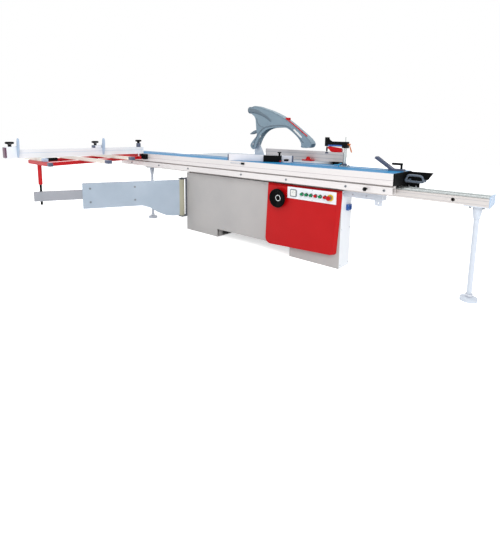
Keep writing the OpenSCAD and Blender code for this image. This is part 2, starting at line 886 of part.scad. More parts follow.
module main_arbor() color("lightgray") {
  rod_y(blade_y - blade_t / 2 - flange_t - nut_t, blade_y, arbor_x, arbor_z, blade_bore);
  rod_y(blade_y, pulley_y + pulley_w, arbor_x, arbor_z, arbor_d);
  rod_y(blade_y + blade_t / 2, blade_y + blade_t / 2 + flange_t, arbor_x, arbor_z, flange_d);
  rod_y(blade_y - blade_t / 2 - flange_t, blade_y - blade_t / 2, arbor_x, arbor_z, flange_d);
  rod_y(blade_y - blade_t / 2 - flange_t - nut_t, blade_y - blade_t / 2 - flange_t, arbor_x, arbor_z,
        nut_d);
  rod_y(pulley_y, pulley_y + pulley_w, arbor_x, arbor_z, pulley_arbor_d);
}

module saw_blade() color("silver")
  along_y(blade_y - blade_t / 2, blade_y + blade_t / 2) translate([arbor_x, arbor_z]) difference() {
    polygon([for (i = [0:tooth_count - 1], k = [0, 1])
             let (a = 360 / tooth_count * (i + tooth_share * k), r = blade_d / 2 - (1 - k) * tooth_h)
             r * [cos(a), sin(a)]]);
    circle(d = arbor_d + 2 * gap);
  }

module motor_pulley() color("dimgray") {
  rod_y(pulley_y, pulley_y + pulley_w, motor_x, motor_z, pulley_motor_d);
  rod_y(pulley_y + pulley_w, motor_y + fin_h, motor_x, motor_z, arbor_d - 2 * gap);
}

module belt_line(grow) hull() {
  translate([arbor_x, arbor_z]) circle(d = pulley_arbor_d + 2 * grow);
  translate([motor_x, motor_z]) circle(d = pulley_motor_d + 2 * grow);
}

module drive_belt() color("black")
  along_y(pulley_y + over, pulley_y + pulley_w - over) difference() {
    belt_line(gap + belt_t);
    belt_line(gap);
  }

module guard_outline(shares) {
  polygon([for (p = shares) [guard_x + p[0] * guard_l, guard_z + p[1] * guard_h]]);
}

// Hood of two side walls and a top band, open below, with its pivot bolt, lip and hose spigot
module guard_hood() color("lightslategray") difference() {
  shares = concat(guard_top_shares, guard_arch_shares);
  y0 = blade_y - guard_w / 2;
  y1 = blade_y + guard_w / 2;
  union() {
    for (y = [y0, y1 - guard_wall]) along_y(y, y + guard_wall) guard_outline(shares);
    along_y(y0, y1) difference() {
      guard_outline(shares);
      translate([0, -guard_wall]) guard_outline(shares);
      rect(guard_x, guard_z, guard_x + guard_l, guard_z + guard_h / 2);
    }
    along_y(y0, y1) intersection() {
      difference() {
        guard_outline(shares);
        translate([-guard_wall, -guard_wall]) guard_outline(shares);
      }
      rect(guard_x + guard_l / 2, guard_z, guard_x + guard_l, guard_z + guard_h);
    }
    along_y(y0, blade_y) guard_outline(guard_lip_shares);
    rod_y(y0, y1, guard_pivot[0], guard_pivot[1], guard_bolt_d);
    rod_x(spigot_x - spigot_d / 4 - spigot_l, spigot_x, blade_y, spigot_z, spigot_d);
  }
  rod_x(spigot_x - spigot_d / 4 - spigot_l - over, spigot_x + over, blade_y, spigot_z,
        spigot_d - 2 * spigot_wall);
}

module leg(x) {
  slab([x - leg_plate_l / 2, beam_y, beam_z - leg_plate_t], [x + leg_plate_l / 2, beam_y + beam_w, beam_z]);
  translate([x, leg_y, beam_z - leg_plate_t - leg_socket_h])
    cylinder(h = leg_socket_h, d1 = leg_d + leg_plate_t, d2 = leg_socket_d);
  rod_z(leg_foot_t, beam_z - leg_plate_t - leg_socket_h, x, leg_y, leg_d);
  rod_z(0, leg_foot_t, x, leg_y, leg_foot_d);
}

module support_legs() color("gainsboro") for (x = leg_x) leg(x);

// Bracket that carries the beam beyond the cabinet's end
module beam_arm() color("aliceblue") {
  y1 = beam_y + beam_w;
  slab([cab_x, beam_y, beam_z - bracket_h], [cab_x + bracket_l, y1, beam_z]);
  difference() {
    slab([cab_x + bracket_l - tab_l, beam_y, beam_z - tab_h],
         [cab_x + bracket_l, beam_y + plate_t, beam_z - bracket_h]);
    rod_y(beam_y - over, beam_y + plate_t + over, cab_x + bracket_l - tab_l / 2,
          beam_z - (bracket_h + tab_h) / 2, tab_bore);
  }
}

// Hollow beam with a flange for the second rail, on shims over the cabinet
module beam() color("whitesmoke") difference() {
  union() {
    along_x(beam_x0, beam_x) difference() {
      union() {
        rect(beam_y, beam_z, beam_y + beam_w, beam_top);
        rect(beam_y, beam_top - beam_flange_t, beam_y + beam_w + beam_flange_w, beam_top);
      }
      rect(beam_y + beam_wall, beam_z + beam_wall, beam_y + beam_w - beam_wall, beam_top - beam_flange_t);
    }
    for (i = [0, 2])
      slab([base_post_x[i], beam_y, cab_h], [base_post_x[i + 1] + post_w, beam_y + beam_w, beam_z]);
  }
  for (y = rail_y)
    rod_x(beam_x0 - over, beam_x + over, y, rail_z, rail_d + gap);
  rod_y(beam_y - over, beam_y + beam_wall + over, beam_x - beam_bore_in, beam_z + beam_t / 2, beam_bore);
}

module guide_rails() color("slategray") for (y = rail_y) rod_x(beam_x0, beam_x, y, rail_z, rail_d);

module beam_caps() color("lightblue")
  for (x = [beam_x0 - cap_t, beam_x])
    slab([x, beam_y, beam_z], [x + cap_t, beam_y + cap_w, rail_top]);

module roller_truck() color("darkgray") {
  y0 = rail_y[0] + roller_w / 2 + seat;
  y1 = rail_y[1] - roller_w / 2 - seat;
  for (y = [y0, y1 - truck_bar_w])
    slab([truck_x - truck_l / 2, y, roller_z - truck_bar_h / 2],
         [truck_x + truck_l / 2, y + truck_bar_w, roller_z + truck_bar_h / 2]);
  for (i = [0:roller_count - 1]) {
    x = truck_x + truck_l * ((i + 0.5) / roller_count - 0.5);
    rod_y(rail_y[0] - roller_w / 2, rail_y[1] + roller_w / 2, x, roller_z, axle_d);
    for (y = rail_y)
      rod_y(y - roller_w / 2, y + roller_w / 2, x, roller_z, roller_d);
  }
}

// Hollow carriage profile: deck with a tee slot and an edge undercut for the tilted blade, running
// ribs and a two-box front skirt
module carriage_profile() {
  z0 = table_h - skirt_h;
  deck = table_h - deck_t;
  slot_z = z0 + skirt_box;
  box_z = slot_z + skirt_slot;
  ribs = [for (y = [rail_y[1], rail_y[0]]) each [[y + rib_w / 2, deck], [y + rib_w / 2, rib_z],
                                                 [y - rib_w / 2, rib_z], [y - rib_w / 2, deck]]];
  difference() {
    polygon(concat([[car_y, table_h], [car_rear, table_h], [car_rear, table_h - edge_t],
                    [car_rear - edge_in, deck]], ribs, [[car_y + skirt_d, deck], [car_y + skirt_d, z0],
                    [car_y, z0]]));
    rect(car_y - over, slot_z, car_y + skirt_slot_d, box_z);
    rect(car_y + car_wall, z0 + car_wall, car_y + skirt_d - car_wall, slot_z - car_wall);
    rect(car_y + car_wall, box_z + car_wall, car_y + skirt_d - car_wall, table_h - car_wall);
    rect(rail_y[1] + rib_w, deck + car_wall, tee_y - tee_under / 2 - car_wall, table_h - car_wall);
    rect(tee_y + tee_under / 2 + car_wall, deck + car_wall, car_rear - edge_in - car_wall,
         table_h - car_wall);
    rect(tee_y - tee_w / 2, table_h - tee_lip - over, tee_y + tee_w / 2, table_h + over);
    rect(tee_y - tee_under / 2, table_h - tee_d, tee_y + tee_under / 2, table_h - tee_lip);
  }
}

module carriage() color("whitesmoke") along_x(car_x0, car_x) carriage_profile();

// End cap and the plate that carries the push handle
module end_bracket() color("black") {
  z0 = table_h - skirt_h + skirt_box + skirt_slot;
  along_x(car_x, car_x + end_t) union() {
    rect(car_y, z0, car_y + skirt_d, table_h);
    polygon([[car_y, table_h - deck_t], [car_rear - edge_in, table_h - deck_t],
             [car_rear, table_h - edge_t], [car_rear, table_h], [car_y, table_h]]);
  }
  along_y(end_plate_y, end_plate_y + end_plate_t)
    polygon([for (p = end_shares)
             [car_x + end_t + p[0] * end_plate_l, table_h - end_plate_h + p[1] * end_plate_h]]);
}

module handle_loop(d) hull() {
  x0 = car_x + end_t + seat;
  for (x = [x0 + handle_h / 2, x0 + handle_l - handle_h / 2])
    translate([x, table_h - handle_t - handle_h / 2]) circle(d = d, $fn = 32);
}

// D-shaped grip on the end bracket's plate
module push_handle() color("slategray") {
  x0 = car_x + end_t + seat;
  y0 = end_plate_y - handle_d;
  along_y(y0, y0 + handle_t) difference() {
    handle_loop(handle_h);
    handle_loop(handle_h - 2 * handle_bar);
  }
  for (x = [x0 + handle_bar / 2, x0 + handle_l - handle_bar / 2])
    rod_y(y0 + handle_t / 2, end_plate_y, x, table_h - handle_t - handle_h / 2, handle_bar - seat);
}

module lock_knob() color("black") translate([car_x - lock_in, car_y, table_h - skirt_h + skirt_box / 2])
  rotate([90, 0, 0]) star_knob(lock_d, lock_h, lock_stem_d, lock_h);

// Red tube frame: a leaning frame of side tubes and cross tubes, with a post to the swing arm
module outrigger_frame() color("firebrick") {
  x0 = rig_x - rig_w;
  z0 = tube_top - tube_w;
  translate([0, 0, z0]) linear_extrude(tube_w) {
    for (x = [x0, rig_x - plug_l - tube_w])
      polygon([[x, rig_y], [x + tube_w, rig_y], [x + tube_w - rig_skew, car_y], [x - rig_skew, car_y]]);
    rect(x0, rig_y, rig_x - plug_l, rig_y + tube_w);
    rect(x0 - rig_skew, cross_pin_y - tube_w / 2, rig_x - rig_skew, cross_pin_y + tube_w / 2);
  }
  slab([x0 - rig_skew, car_y - tube_w, z0], [rig_x - rig_skew, car_y, z0 + rig_rail_h]);
  rod_z(post_low, z0, post_x, rig_y + tube_w / 2, post_d);
}

// Aluminium bars that carry the panel, seated on the frame, with plastic caps and the outer tube's plug
module support_bars() {
  for (i = [0:2]) {
    x0 = bar_x[i] - bar_shares[i] * bar_l;
    color("antiquewhite") slab([x0, bar_y[i], tube_top], [bar_x[i], bar_y[i] + bar_w, table_h]);
    color("darkslategray") for (x = [bar_x[i], x0 - bar_cap_l])
      slab([x, bar_y[i] - cap_grow, tube_top], [x + bar_cap_l, bar_y[i] + bar_w + cap_grow, table_h]);
  }
  color("darkslategray") slab([rig_x - plug_l, rig_y - cap_grow, tube_top - tube_w],
                              [rig_x, rig_y + tube_w, tube_top]);
}

// Bracket ears and pin on the cabinet's left end
module arm_hinge() color("dimgray") {
  for (z = [hinge_low - hinge_ear_t - gap, hinge_high + gap])
    slab([hinge_x - hinge_d / 2, hinge_y - hinge_d / 2, z], [-cab_x, front_y + hinge_d, z + hinge_ear_t]);
  rod_z(hinge_low - hinge_ear_t - gap, hinge_high + hinge_ear_t + gap, hinge_x, hinge_y, hinge_pin_d);
}

module arm_frame() {
  translate([hinge_x, hinge_y, 0]) rotate([0, 0, -90 - arm_angle]) children();
}

// Hinge tube and a hollow plate arm whose underside rises in an S towards its end
module swing_arm() color("lightsteelblue") arm_frame() difference() {
  union() {
    rod_z(hinge_low, hinge_high, 0, 0, hinge_d);
    along_y(-arm_t / 2, arm_t / 2)
      polygon(concat([[0, arm_top], [arm_l, arm_top], [arm_l, arm_top - arm_end_h]],
                     [for (i = [4:-1:0]) [arm_taper_shares[i][0] * arm_l,
                      arm_top - arm_end_h - arm_taper_shares[i][1] * (arm_h - arm_end_h)]],
                     [[0, arm_top - arm_h]]));
  }
  rod_z(hinge_low - over, hinge_high + over, 0, 0, hinge_pin_d + 2 * gap);
  slab([arm_l - pocket_l, -slider_t / 2 - gap, slider_z0 - gap],
       [arm_l + over, slider_t / 2 + gap, slider_z1 + gap]);
}

// Telescopic section with the pivot pin at its end
module arm_slider() color("darkgray") arm_frame() {
  slab([arm_l - slider_in, -slider_t / 2, slider_z0], [pin_reach + slider_over, slider_t / 2, slider_z1]);
  rod_z(slider_z0 - pin_drop, slider_z0, pin_reach, 0, pin_d);
  rod_z(slider_z1, post_low - gap, pin_reach, 0, pin_d);
}

// Fence profile across the outrigger, with its pivot pin and clamp knob
module crosscut_fence() color("white") {
  difference() {
    slab([cross_x, cross_y0, cross_z0], [cross_x + cross_w, cross_y, cross_z1]);
    slab([cross_x + cross_wall, cross_y0 - over, cross_z0 + cross_wall],
         [cross_x + cross_w - cross_wall, cross_y - cross_w, cross_z1 - cross_wall]);
  }
  rod_z(tube_top, cross_z0, cross_x + cross_w / 2, cross_pin_y, cross_pin_d);
  translate([cross_x + cross_w / 2, cross_pin_y, cross_z1]) star_knob(knob_d, knob_h, cross_pin_d, knob_stem);
}

// Inner extension bar with the far stop's block on its end
module fence_extension() color("gainsboro") {
  c = cross_wall + gap;
  slab([cross_x + c, cross_y0 - ext_out / 2, cross_z0 + c],
       [cross_x + cross_w - c, cross_y0 + ext_l, cross_z1 - c]);
  slab([cross_x - stop_wall, cross_y0 - ext_out, cross_z0],
       [cross_x + cross_w + stop_wall, cross_y0 - gap, cross_z1 + stop_h]);
  rod_y(cross_y0 - gap, cross_y0 + flip_t, flip_x, flip_z, flip_pin_d);
  translate([flip_x, cross_y0 - ext_out / 2, cross_z1 + stop_h])
    star_knob(knob_d, knob_h, cross_pin_d, knob_stem);
}

// Sliding saddle over the fence, with the pin of its finger
module stop_near() color("gainsboro") {
  z1 = cross_z1 + gap;
  slab([cross_x - stop_wall, near_y, z1], [cross_x + cross_w + stop_wall, near_y + stop_l, z1 + stop_h]);
  rod_y(near_y + stop_l, near_y + stop_l + flip_t, flip_x, flip_z, flip_pin_d);
  translate([flip_x, near_y + knob_d / 2, z1 + stop_h]) star_knob(knob_d, knob_h, cross_pin_d, knob_stem);
}

// A flip finger that hangs in front of the fence, with a horn to lift it by
module flip(y) {
  x1 = cross_x + cross_w + stop_wall;
  z1 = cross_z1 + gap;
  top = z1 + flip_up;
  along_y(y + gap, y + flip_t) difference() {
    union() {
      translate([flip_x, flip_z]) circle(d = flip_w);
      rect(flip_x, z1, x1 + leaf_w, z1 + flip_w);
      rect(x1, table_h + stop_wall, x1 + leaf_w, top - leaf_w / 2);
      translate([x1 + leaf_w / 2, top - leaf_w / 2]) circle(d = leaf_w);
    }
    translate([flip_x, flip_z]) circle(d = flip_pin_d + 2 * gap);
  }
}

module flip_near() color("white") flip(near_y + stop_l);
module flip_far() color("white") flip(cross_y0);

// Hold-down clamp: post on a foot in the tee slot, sliding arm, grip and lock lever
module clamp_post() color("gainsboro") {
  slab([clamp_x - clamp_base_l / 2, tee_y - clamp_base_l / 2, table_h],
       [clamp_x + clamp_base_l / 2, tee_y + clamp_base_l / 2, table_h + clamp_base_h]);
  rod_z(table_h + clamp_base_h, table_h + post_h, clamp_x, tee_y, clamp_post_d);
  rod_z(table_h + post_h, table_h + clamp_rod_h, clamp_x, tee_y, clamp_rod_d);
}

module clamp_arm() color("black") {
  z1 = clamp_arm_z + clamp_arm_h;
  pad_z = clamp_arm_z - clamp_block_h;
  y0 = tee_y - clamp_arm_w / 2;
  y1 = tee_y + clamp_arm_w / 2;
  difference() {
    union() {
      slab([clamp_x - clamp_block_w / 2, tee_y - clamp_block_w / 2, z1 - clamp_block_h],
           [clamp_x + clamp_block_w / 2, tee_y + clamp_block_w / 2, z1]);
      slab([clamp_arm_x, y0, clamp_arm_z], [clamp_x, y1, z1]);
      slab([clamp_arm_x, y0, z1], [clamp_arm_x + clamp_arm_w, y1, z1 + clamp_up_h]);
      rod_z(pad_z, clamp_arm_z, clamp_arm_x + clamp_arm_w / 2, tee_y, clamp_rod_d);
      rod_z(pad_z - pad_t, pad_z, clamp_arm_x + clamp_arm_w / 2, tee_y, pad_d);
    }
    rod_z(z1 - clamp_block_h - over, z1 + over, clamp_x, tee_y, clamp_post_d + 2 * gap);
  }
}

module clamp_grip() color("firebrick") {
  x0 = clamp_arm_x + clamp_arm_w;
  z1 = clamp_arm_z - gap;
  r = grip_h / 4;
  along_y(tee_y - clamp_arm_w / 2, tee_y + clamp_arm_w / 2) {
    translate([x0 + r, z1 - r]) circle(r = r);
    polygon([[x0 + r, z1], [x0 + grip_l, z1 - r], [x0 + grip_l, z1 - grip_h], [x0 + r, z1 - 2 * r]]);
  }
}

module clamp_lever() color("darkorange") {
  x0 = clamp_x + clamp_block_w / 2 + gap;
  z0 = clamp_arm_z + clamp_arm_h / 2;
  rod_x(x0, x0 + 2 * lever_d, tee_y, z0, lever_d);
  translate([x0 + lever_d, tee_y, z0]) rotate([0, 180 - lever_angle, 0])
    cylinder(h = lever_l, d = lever_d - 2 * seat);
}

// Foot in the tee slot with an inclined plate that holds a panel's edge down
module edging_shoe() color("lightslategray") {
  slab([shoe_x, tee_y - shoe_w / 2, table_h], [shoe_x + shoe_l, tee_y + shoe_w / 2, table_h + shoe_h]);
  translate([shoe_x + shoe_l / 4, tee_y - shoe_w / 2, table_h + shoe_h / 2]) rotate([0, 180 + shoe_angle, 0])
    slab([0, seat, -shoe_plate_t], [shoe_plate_l, shoe_w - seat, 0]);
}

module shoe_lever() color("black") {
  x0 = shoe_x + shoe_l - 2 * shoe_stem_d;
  z0 = table_h + shoe_h;
  rod_z(z0, z0 + shoe_stem_h, x0, tee_y, shoe_stem_d);
  slab([x0 - shoe_bar_l, tee_y - shoe_stem_d / 2, z0 + shoe_stem_h - shoe_stem_d],
       [x0, tee_y + shoe_stem_d / 2, z0 + shoe_stem_h]);
}

module mitre_frame() {
  translate([mitre_x, tee_y, table_h]) rotate([0, 0, 180 + mitre_angle]) children();
}

// Angled fence on a pivot foot in the tee slot, with its clamp knob
module mitre_fence() color("gainsboro") mitre_frame() {
  cylinder(h = mitre_base_t, d = mitre_base_d);
  translate([0, mitre_face, mitre_base_t]) star_knob(mitre_knob_d, knob_h, cross_pin_d, seat);
  difference() {
    slab([-mitre_over, -mitre_w - mitre_face, seat], [mitre_l - mitre_over, -mitre_face, mitre_h]);
    slab([-mitre_over - over, -mitre_w - mitre_face + mitre_wall, seat + mitre_base_t],
         [mitre_l, -mitre_face - mitre_wall, mitre_h - mitre_wall]);
  }
}

// Stop block that slides along the mitre fence
module mitre_stop() color("black") mitre_frame() {
  slab([mitre_stop_at, -mitre_face + gap, seat],
       [mitre_stop_at + mitre_stop_l, -mitre_face + mitre_stop_w, mitre_h]);
  translate([mitre_stop_at + mitre_knob_d / 2, -mitre_face + mitre_stop_w / 2, mitre_h])
    star_knob(mitre_knob_d, mitre_base_t, cross_pin_d, mitre_stop_h - mitre_base_t);
}

// Round bar along the table's end on two feet
module rip_rail() color("silver") {
  rod_y(rip_bar_y, rip_bar_y + rip_bar_l, rip_bar_x, rip_bar_z, rip_bar_d);
  for (y = [free_y, table_y + table_w - 2 * rip_foot_l]) {
    slab([table_x - rib_t, y, rip_bar_z - rip_foot_l / 2], [rip_bar_x, y + rip_foot_l, rip_bar_z]);
    slab([table_x - rib_t, y, rip_bar_z], [table_x, y + rip_foot_l, under_z]);
  }
}

// Casting that rides on the bar and carries the fence
module rip_carrier() color("darkgray") {
  y0 = rip_y + rip_w;
  z0 = rip_bar_z + rip_bar_d / 2 + gap;
  slab([rip_bar_x - carrier_l / 2, y0, z0], [rip_bar_x + carrier_l / 2, y0 + carrier_w, z0 + carrier_h]);
}

module rip_fence() color("silver") {
  x0 = rip_x - rip_l;
  z0 = table_h + rip_lift;
  difference() {
    slab([x0, rip_y, z0], [rip_x, rip_y + rip_w, z0 + rip_h]);
    slab([x0 - over, rip_y + rip_wall, z0 + rip_wall],
         [rip_x + over, rip_y + rip_w - rip_wall, z0 + rip_h - rip_wall]);
  }
}

// Push block with a round grip, kept against the rip fence
module push_block() color("firebrick") {
  x1 = rip_x - push_in;
  y1 = rip_y - gap;
  slab([x1 - push_l, y1 - push_w, table_h], [x1, y1, table_h + push_base_t]);
  translate([x1 - push_l / 2, y1 - push_w / 2, table_h + push_base_t])
    cylinder(h = push_h - push_base_t, d1 = push_low_d, d2 = push_top_d);
}

base_frame();
front_panel();
red_cover();
control_panel();
end_panel();
rear_cabinet();
power_inlet();
main_table();
extension_tables();
beam_arm();
beam();
guide_rails();
beam_caps();
support_legs();
rip_rail();
arm_hinge();
saw_cradle();
scoring_motor();
saw_arm();
motor();
riving_knife();
drive_belt();
main_arbor();
saw_blade();
motor_pulley();
scoring_spindle();
guard_hood();
handwheel();
button_1();
button_2();
button_3();
button_4();
button_5();
button_6();
stop_button();
carriage();
end_bracket();
push_handle();
lock_knob();
roller_truck();
outrigger_frame();
support_bars();
swing_arm();
arm_slider();
crosscut_fence();
fence_extension();
stop_near();
flip_near();
flip_far();
clamp_post();
clamp_arm();
clamp_grip();
clamp_lever();
edging_shoe();
shoe_lever();
mitre_fence();
mitre_stop();
rip_carrier();
rip_fence();
push_block();
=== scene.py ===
import math
from itertools import product

import bmesh
import bpy
import numpy as np
from mathutils import Matrix, Vector


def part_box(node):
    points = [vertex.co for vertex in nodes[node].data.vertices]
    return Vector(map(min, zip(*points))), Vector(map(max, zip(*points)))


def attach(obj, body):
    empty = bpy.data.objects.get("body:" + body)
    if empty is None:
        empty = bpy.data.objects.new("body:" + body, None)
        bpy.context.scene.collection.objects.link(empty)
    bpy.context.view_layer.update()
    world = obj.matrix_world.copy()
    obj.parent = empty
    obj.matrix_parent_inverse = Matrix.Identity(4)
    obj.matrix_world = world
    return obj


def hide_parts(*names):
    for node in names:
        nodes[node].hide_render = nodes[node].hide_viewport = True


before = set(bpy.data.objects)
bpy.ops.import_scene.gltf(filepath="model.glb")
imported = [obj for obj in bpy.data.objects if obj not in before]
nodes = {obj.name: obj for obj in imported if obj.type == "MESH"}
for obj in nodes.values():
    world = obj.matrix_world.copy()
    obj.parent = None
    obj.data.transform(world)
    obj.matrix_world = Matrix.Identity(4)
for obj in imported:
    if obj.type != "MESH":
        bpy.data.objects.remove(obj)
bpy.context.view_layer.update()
scene = bpy.context.scene
scene.view_settings.view_transform = "Standard"
print("frame loaded:", len(nodes), "nodes")
# directions: forward is toward the viewer, endward toward the operator's end
upward, forward, backward, endward = (0, 0, 1), (0, -1, 0), (0, 1, 0), (1, 0, 0)


def hexLinear(code):
    # sRGB hex to linear light: the low end is a straight line, the rest a 2.4 power
    c = np.array([int(code[i:i + 2], 16) for i in (1, 3, 5)]) / 255
    c = np.where(c <= 0.04045, c / 12.92, ((c + 0.055) / 1.055) ** 2.4)
    return (*c.tolist(), 1.0)


def addNode(tree, kind, inputs=None, **settings):
    # a node with its settings; an input that is a socket becomes a link, anything else a value
    node = tree.nodes.new(kind)
    for key, value in settings.items():
        setattr(node, key, value)
    for socket, source in (inputs or {}).items():
        if isinstance(source, bpy.types.NodeSocket):
            tree.links.new(source, node.inputs[socket])
        else:
            node.inputs[socket].default_value = source
    return node


def maths(tree, operation, *values, **settings):
    # the answer of one math node
    node = addNode(tree, "ShaderNodeMath", dict(enumerate(values)), operation=operation, **settings)
    return node.outputs[0]


def blend(tree, share, under, over):
    # one colour laid over another by a share from nought to one
    return addNode(tree, "ShaderNodeMix", {0: share, 6: under, 7: over}, data_type="RGBA").outputs[2]


finishes = {}


def surface(name, colour, shade, rough, metallic=0.0, grain=0.8, bump=0.15, stretch=(1, 1, 1), blotch=250,
            gleam=0.5, spread=0.06):
    # grain and blotch are in mm: fine noise lifts the surface, broad noise drifts colour and gloss
    mat = bpy.data.materials.new(name)
    mat.use_nodes = True
    tree = mat.node_tree
    shader = tree.nodes["Principled BSDF"]
    shader.inputs["Metallic"].default_value = metallic
    shader.inputs["Specular IOR Level"].default_value = gleam
    place = addNode(tree, "ShaderNodeTexCoord").outputs["Object"]
    drawn = addNode(tree, "ShaderNodeMapping", {"Vector": place, "Scale": stretch}).outputs["Vector"]
    broad = addNode(tree, "ShaderNodeTexNoise", {"Vector": drawn, "Scale": 1000 / blotch, "Detail": 4.0})
    fine = addNode(tree, "ShaderNodeTexNoise", {"Vector": drawn, "Scale": 1000 / grain, "Detail": 2.0})
    span = {"Value": broad.outputs["Fac"], "From Min": 0.3, "From Max": 0.7}
    drift = addNode(tree, "ShaderNodeMapRange", span)
    tint = blend(tree, drift.outputs["Result"], hexLinear(colour), hexLinear(shade))
    tree.links.new(tint, shader.inputs["Base Color"])
    gloss = addNode(tree, "ShaderNodeMapRange", {**span, "To Min": rough - spread, "To Max": rough + spread})
    tree.links.new(gloss.outputs["Result"], shader.inputs["Roughness"])
    relief = addNode(tree, "ShaderNodeBump", {"Height": fine.outputs["Fac"], "Strength": bump,
                                              "Distance": grain / 1000})
    tree.links.new(relief.outputs["Normal"], shader.inputs["Normal"])
    finishes[name] = mat
    return tree, shader, place, tint


def surfaces(*rows, **common):
    # one finish for each row of name, colour, shade and roughness, all with the same settings
    for row in rows:
        surface(*row, **common)


# powder coat over folded sheet, and the like on motors: even satin with a fine orange peel
surfaces(("powderCoatGrey", "#bcb9b7", "#b4b2b1", 0.42), ("powderCoatWhite", "#f6f9fd", "#f0f4f9", 0.4),
         ("powderCoatLeg", "#d8dfe9", "#cdd5e0", 0.42), ("powderCoatOlive", "#b7b49f", "#aba891", 0.45),
         grain=1.6, bump=0.1)
# the dark powder coat also serves as painted shade in the gap beside the hinge barrel
surfaces(("powderCoatArm", "#b4c2d0", "#a9b8c7", 0.45), ("powderCoatDarkAndGapShade", "#5c6068", "#4f535b", 0.5),
         ("motorEnamel", "#566272", "#4b5665", 0.42), grain=1.8, bump=0.14)
surface("paintedSteel", "#a8abb2", "#9fa2aa", 0.45, grain=1.8, bump=0.12)
# moulded cover, sprayed and lacquered: strong clear red with soft highlights
surface("lacqueredRed", "#c2090f", "#bb070d", 0.36, grain=1.5, bump=0.02, gleam=0.2, spread=0.02)
surface("enamelRed", "#c8121c", "#bd0f18", 0.38, grain=2, bump=0.06, gleam=0.3)
# ground cast iron: grey with long grinding marks along the feed
surface("groundCastIron", "#c8d1da", "#b9c3cd", 0.36, metallic=0.35, grain=1.2, bump=0.1,
        stretch=(0.06, 1, 1))
surface("rolledSteel", "#c6ced6", "#b7c0c9", 0.38, metallic=0.45, grain=1.5, bump=0.08, stretch=(0.1, 1, 1))
# bright drawn or turned steel: lengthwise drawing marks, sharp reflections
surface("brightSteel", "#c3c8c8", "#aab0b0", 0.24, metallic=0.9, grain=0.8, bump=0.06, stretch=(0.05, 1, 1))
surface("zincSteel", "#c9ccd2", "#b3b7bf", 0.3, metallic=0.8, grain=1, bump=0.1, blotch=40)
# moulded ABS and nylon: fine spark-eroded grain, soft sheen
# the second hood plastic is a darker copy of the first: painted shade on the guard's raised forms, and it
# also colours the lip and the hose spigot
surfaces(("hoodAbs", "#8499a6", "#798e9b", 0.46), ("hoodAbsDarkAndShade", "#667682", "#5c6c78", 0.48),
         grain=1.4, bump=0.16)
surfaces(("slateNylon", "#4e5871", "#444d64", 0.46), ("handleNylon", "#5b6878", "#515d6c", 0.4),
         grain=1.2, bump=0.18)
surfaces(("orangePlastic", "#e0762a", "#d2681e", 0.36), ("bluePlastic", "#2a5fae", "#23539b", 0.34),
         ("cyanPlastic", "#2fa3d2", "#2795c4", 0.34), ("plumPlastic", "#5d3550", "#522d46", 0.4),
         grain=1, bump=0.1)
surface("blackNylon", "#0e0f11", "#0a0b0c", 0.46, grain=1.2, bump=0.12, gleam=0.06)
surface("capPlastic", "#b9cee6", "#acc2db", 0.42, grain=1.2, bump=0.12)
surface("redPlastic", "#cb0f18", "#be0c14", 0.36, grain=1, bump=0.06, gleam=0.16)
surface("greenPlastic", "#0c8a55", "#0a7d4c", 0.34, grain=1, bump=0.06, gleam=0.2)
surface("yellowPlastic", "#e8c21c", "#dcb414", 0.36, grain=1, bump=0.08)
# pressed phenolic: deep black with a soft polish
surface("phenolicBlack", "#060607", "#040405", 0.34, grain=1.2, bump=0.02, gleam=0.05)
# enamels and ink: smooth and even; rubber and castings: dull and coarse
surfaces(("dialEnamel", "#f1f2ee", "#e9eae5", 0.4), ("inkGrey", "#5f656c", "#565c63", 0.5),
         grain=1, bump=0.03)
surface("beltRubber", "#17181a", "#101113", 0.7, grain=1, bump=0.3)
surface("castGrey", "#8f969d", "#838a91", 0.55, metallic=0.2, grain=2.5, bump=0.3)
# anodised extrusion: matt silver white with die lines along its length
alongX = {"grain": 1, "bump": 0.08, "stretch": (0.02, 1, 1)}
surface("anodisedAluminium", "#e6e5ea", "#dad9de", 0.34, metallic=0.3, **alongX)
surface("anodisedFence", "#fafcff", "#f2f5f9", 0.34, metallic=0.05, grain=1, bump=0.08, stretch=(1, 0.02, 1))
surface("anodisedRip", "#dcd6d5", "#d0cac9", 0.36, metallic=0.2, **alongX)
surface("anodisedBars", "#efece4", "#e6e2d8", 0.36, metallic=0.3, **alongX)

# the beam's front face has two darker die lines
beamLook = {"lines": (0.707, 0.735), "half": 0.0014, "colour": "#a9a8ab"}
tree, shader, place, under = surface("anodisedBeam", "#d3cecb", "#c7c1be", 0.36, metallic=0.35, **alongX)
height = addNode(tree, "ShaderNodeSeparateXYZ", {"Vector": place}).outputs["Z"]
low, high = [maths(tree, "COMPARE", height, z, beamLook["half"]) for z in beamLook["lines"]]
lined = blend(tree, maths(tree, "MAXIMUM", low, high), under, hexLinear(beamLook["colour"]))
tree.links.new(lined, shader.inputs["Base Color"])

# sheet of blue film on the carriage top, cut back from the tee slot, and a darker line along the front:
# painted shadow of the gap under the upper band
deckLook = {"filmBase": 0.8793, "slotY": -0.181, "slotHalf": 0.0125, "shadowGapZ": 0.826, "shadowGapHalf": 0.0016,
            "film": "#2a86bb", "line": "#b3abae"}
tree, shader, place, under = surface("filmedCarriage", "#ece8e7", "#e3dedc", 0.34, metallic=0.12,
                                     **{**alongX, "bump": 0.06})
axes = addNode(tree, "ShaderNodeSeparateXYZ", {"Vector": place}).outputs
onTop = maths(tree, "GREATER_THAN", axes["Z"], deckLook["filmBase"])
atSlot = maths(tree, "COMPARE", axes["Y"], deckLook["slotY"], deckLook["slotHalf"])
film = maths(tree, "SUBTRACT", onTop, atSlot, use_clamp=True)
# the darker line on the front is painted shadow of the gap under the upper band
line = maths(tree, "COMPARE", axes["Z"], deckLook["shadowGapZ"], deckLook["shadowGapHalf"])
filmedAndGapShaded = blend(tree, line, blend(tree, film, under, hexLinear(deckLook["film"])), hexLinear(deckLook["line"]))
tree.links.new(filmedAndGapShaded, shader.inputs["Base Color"])
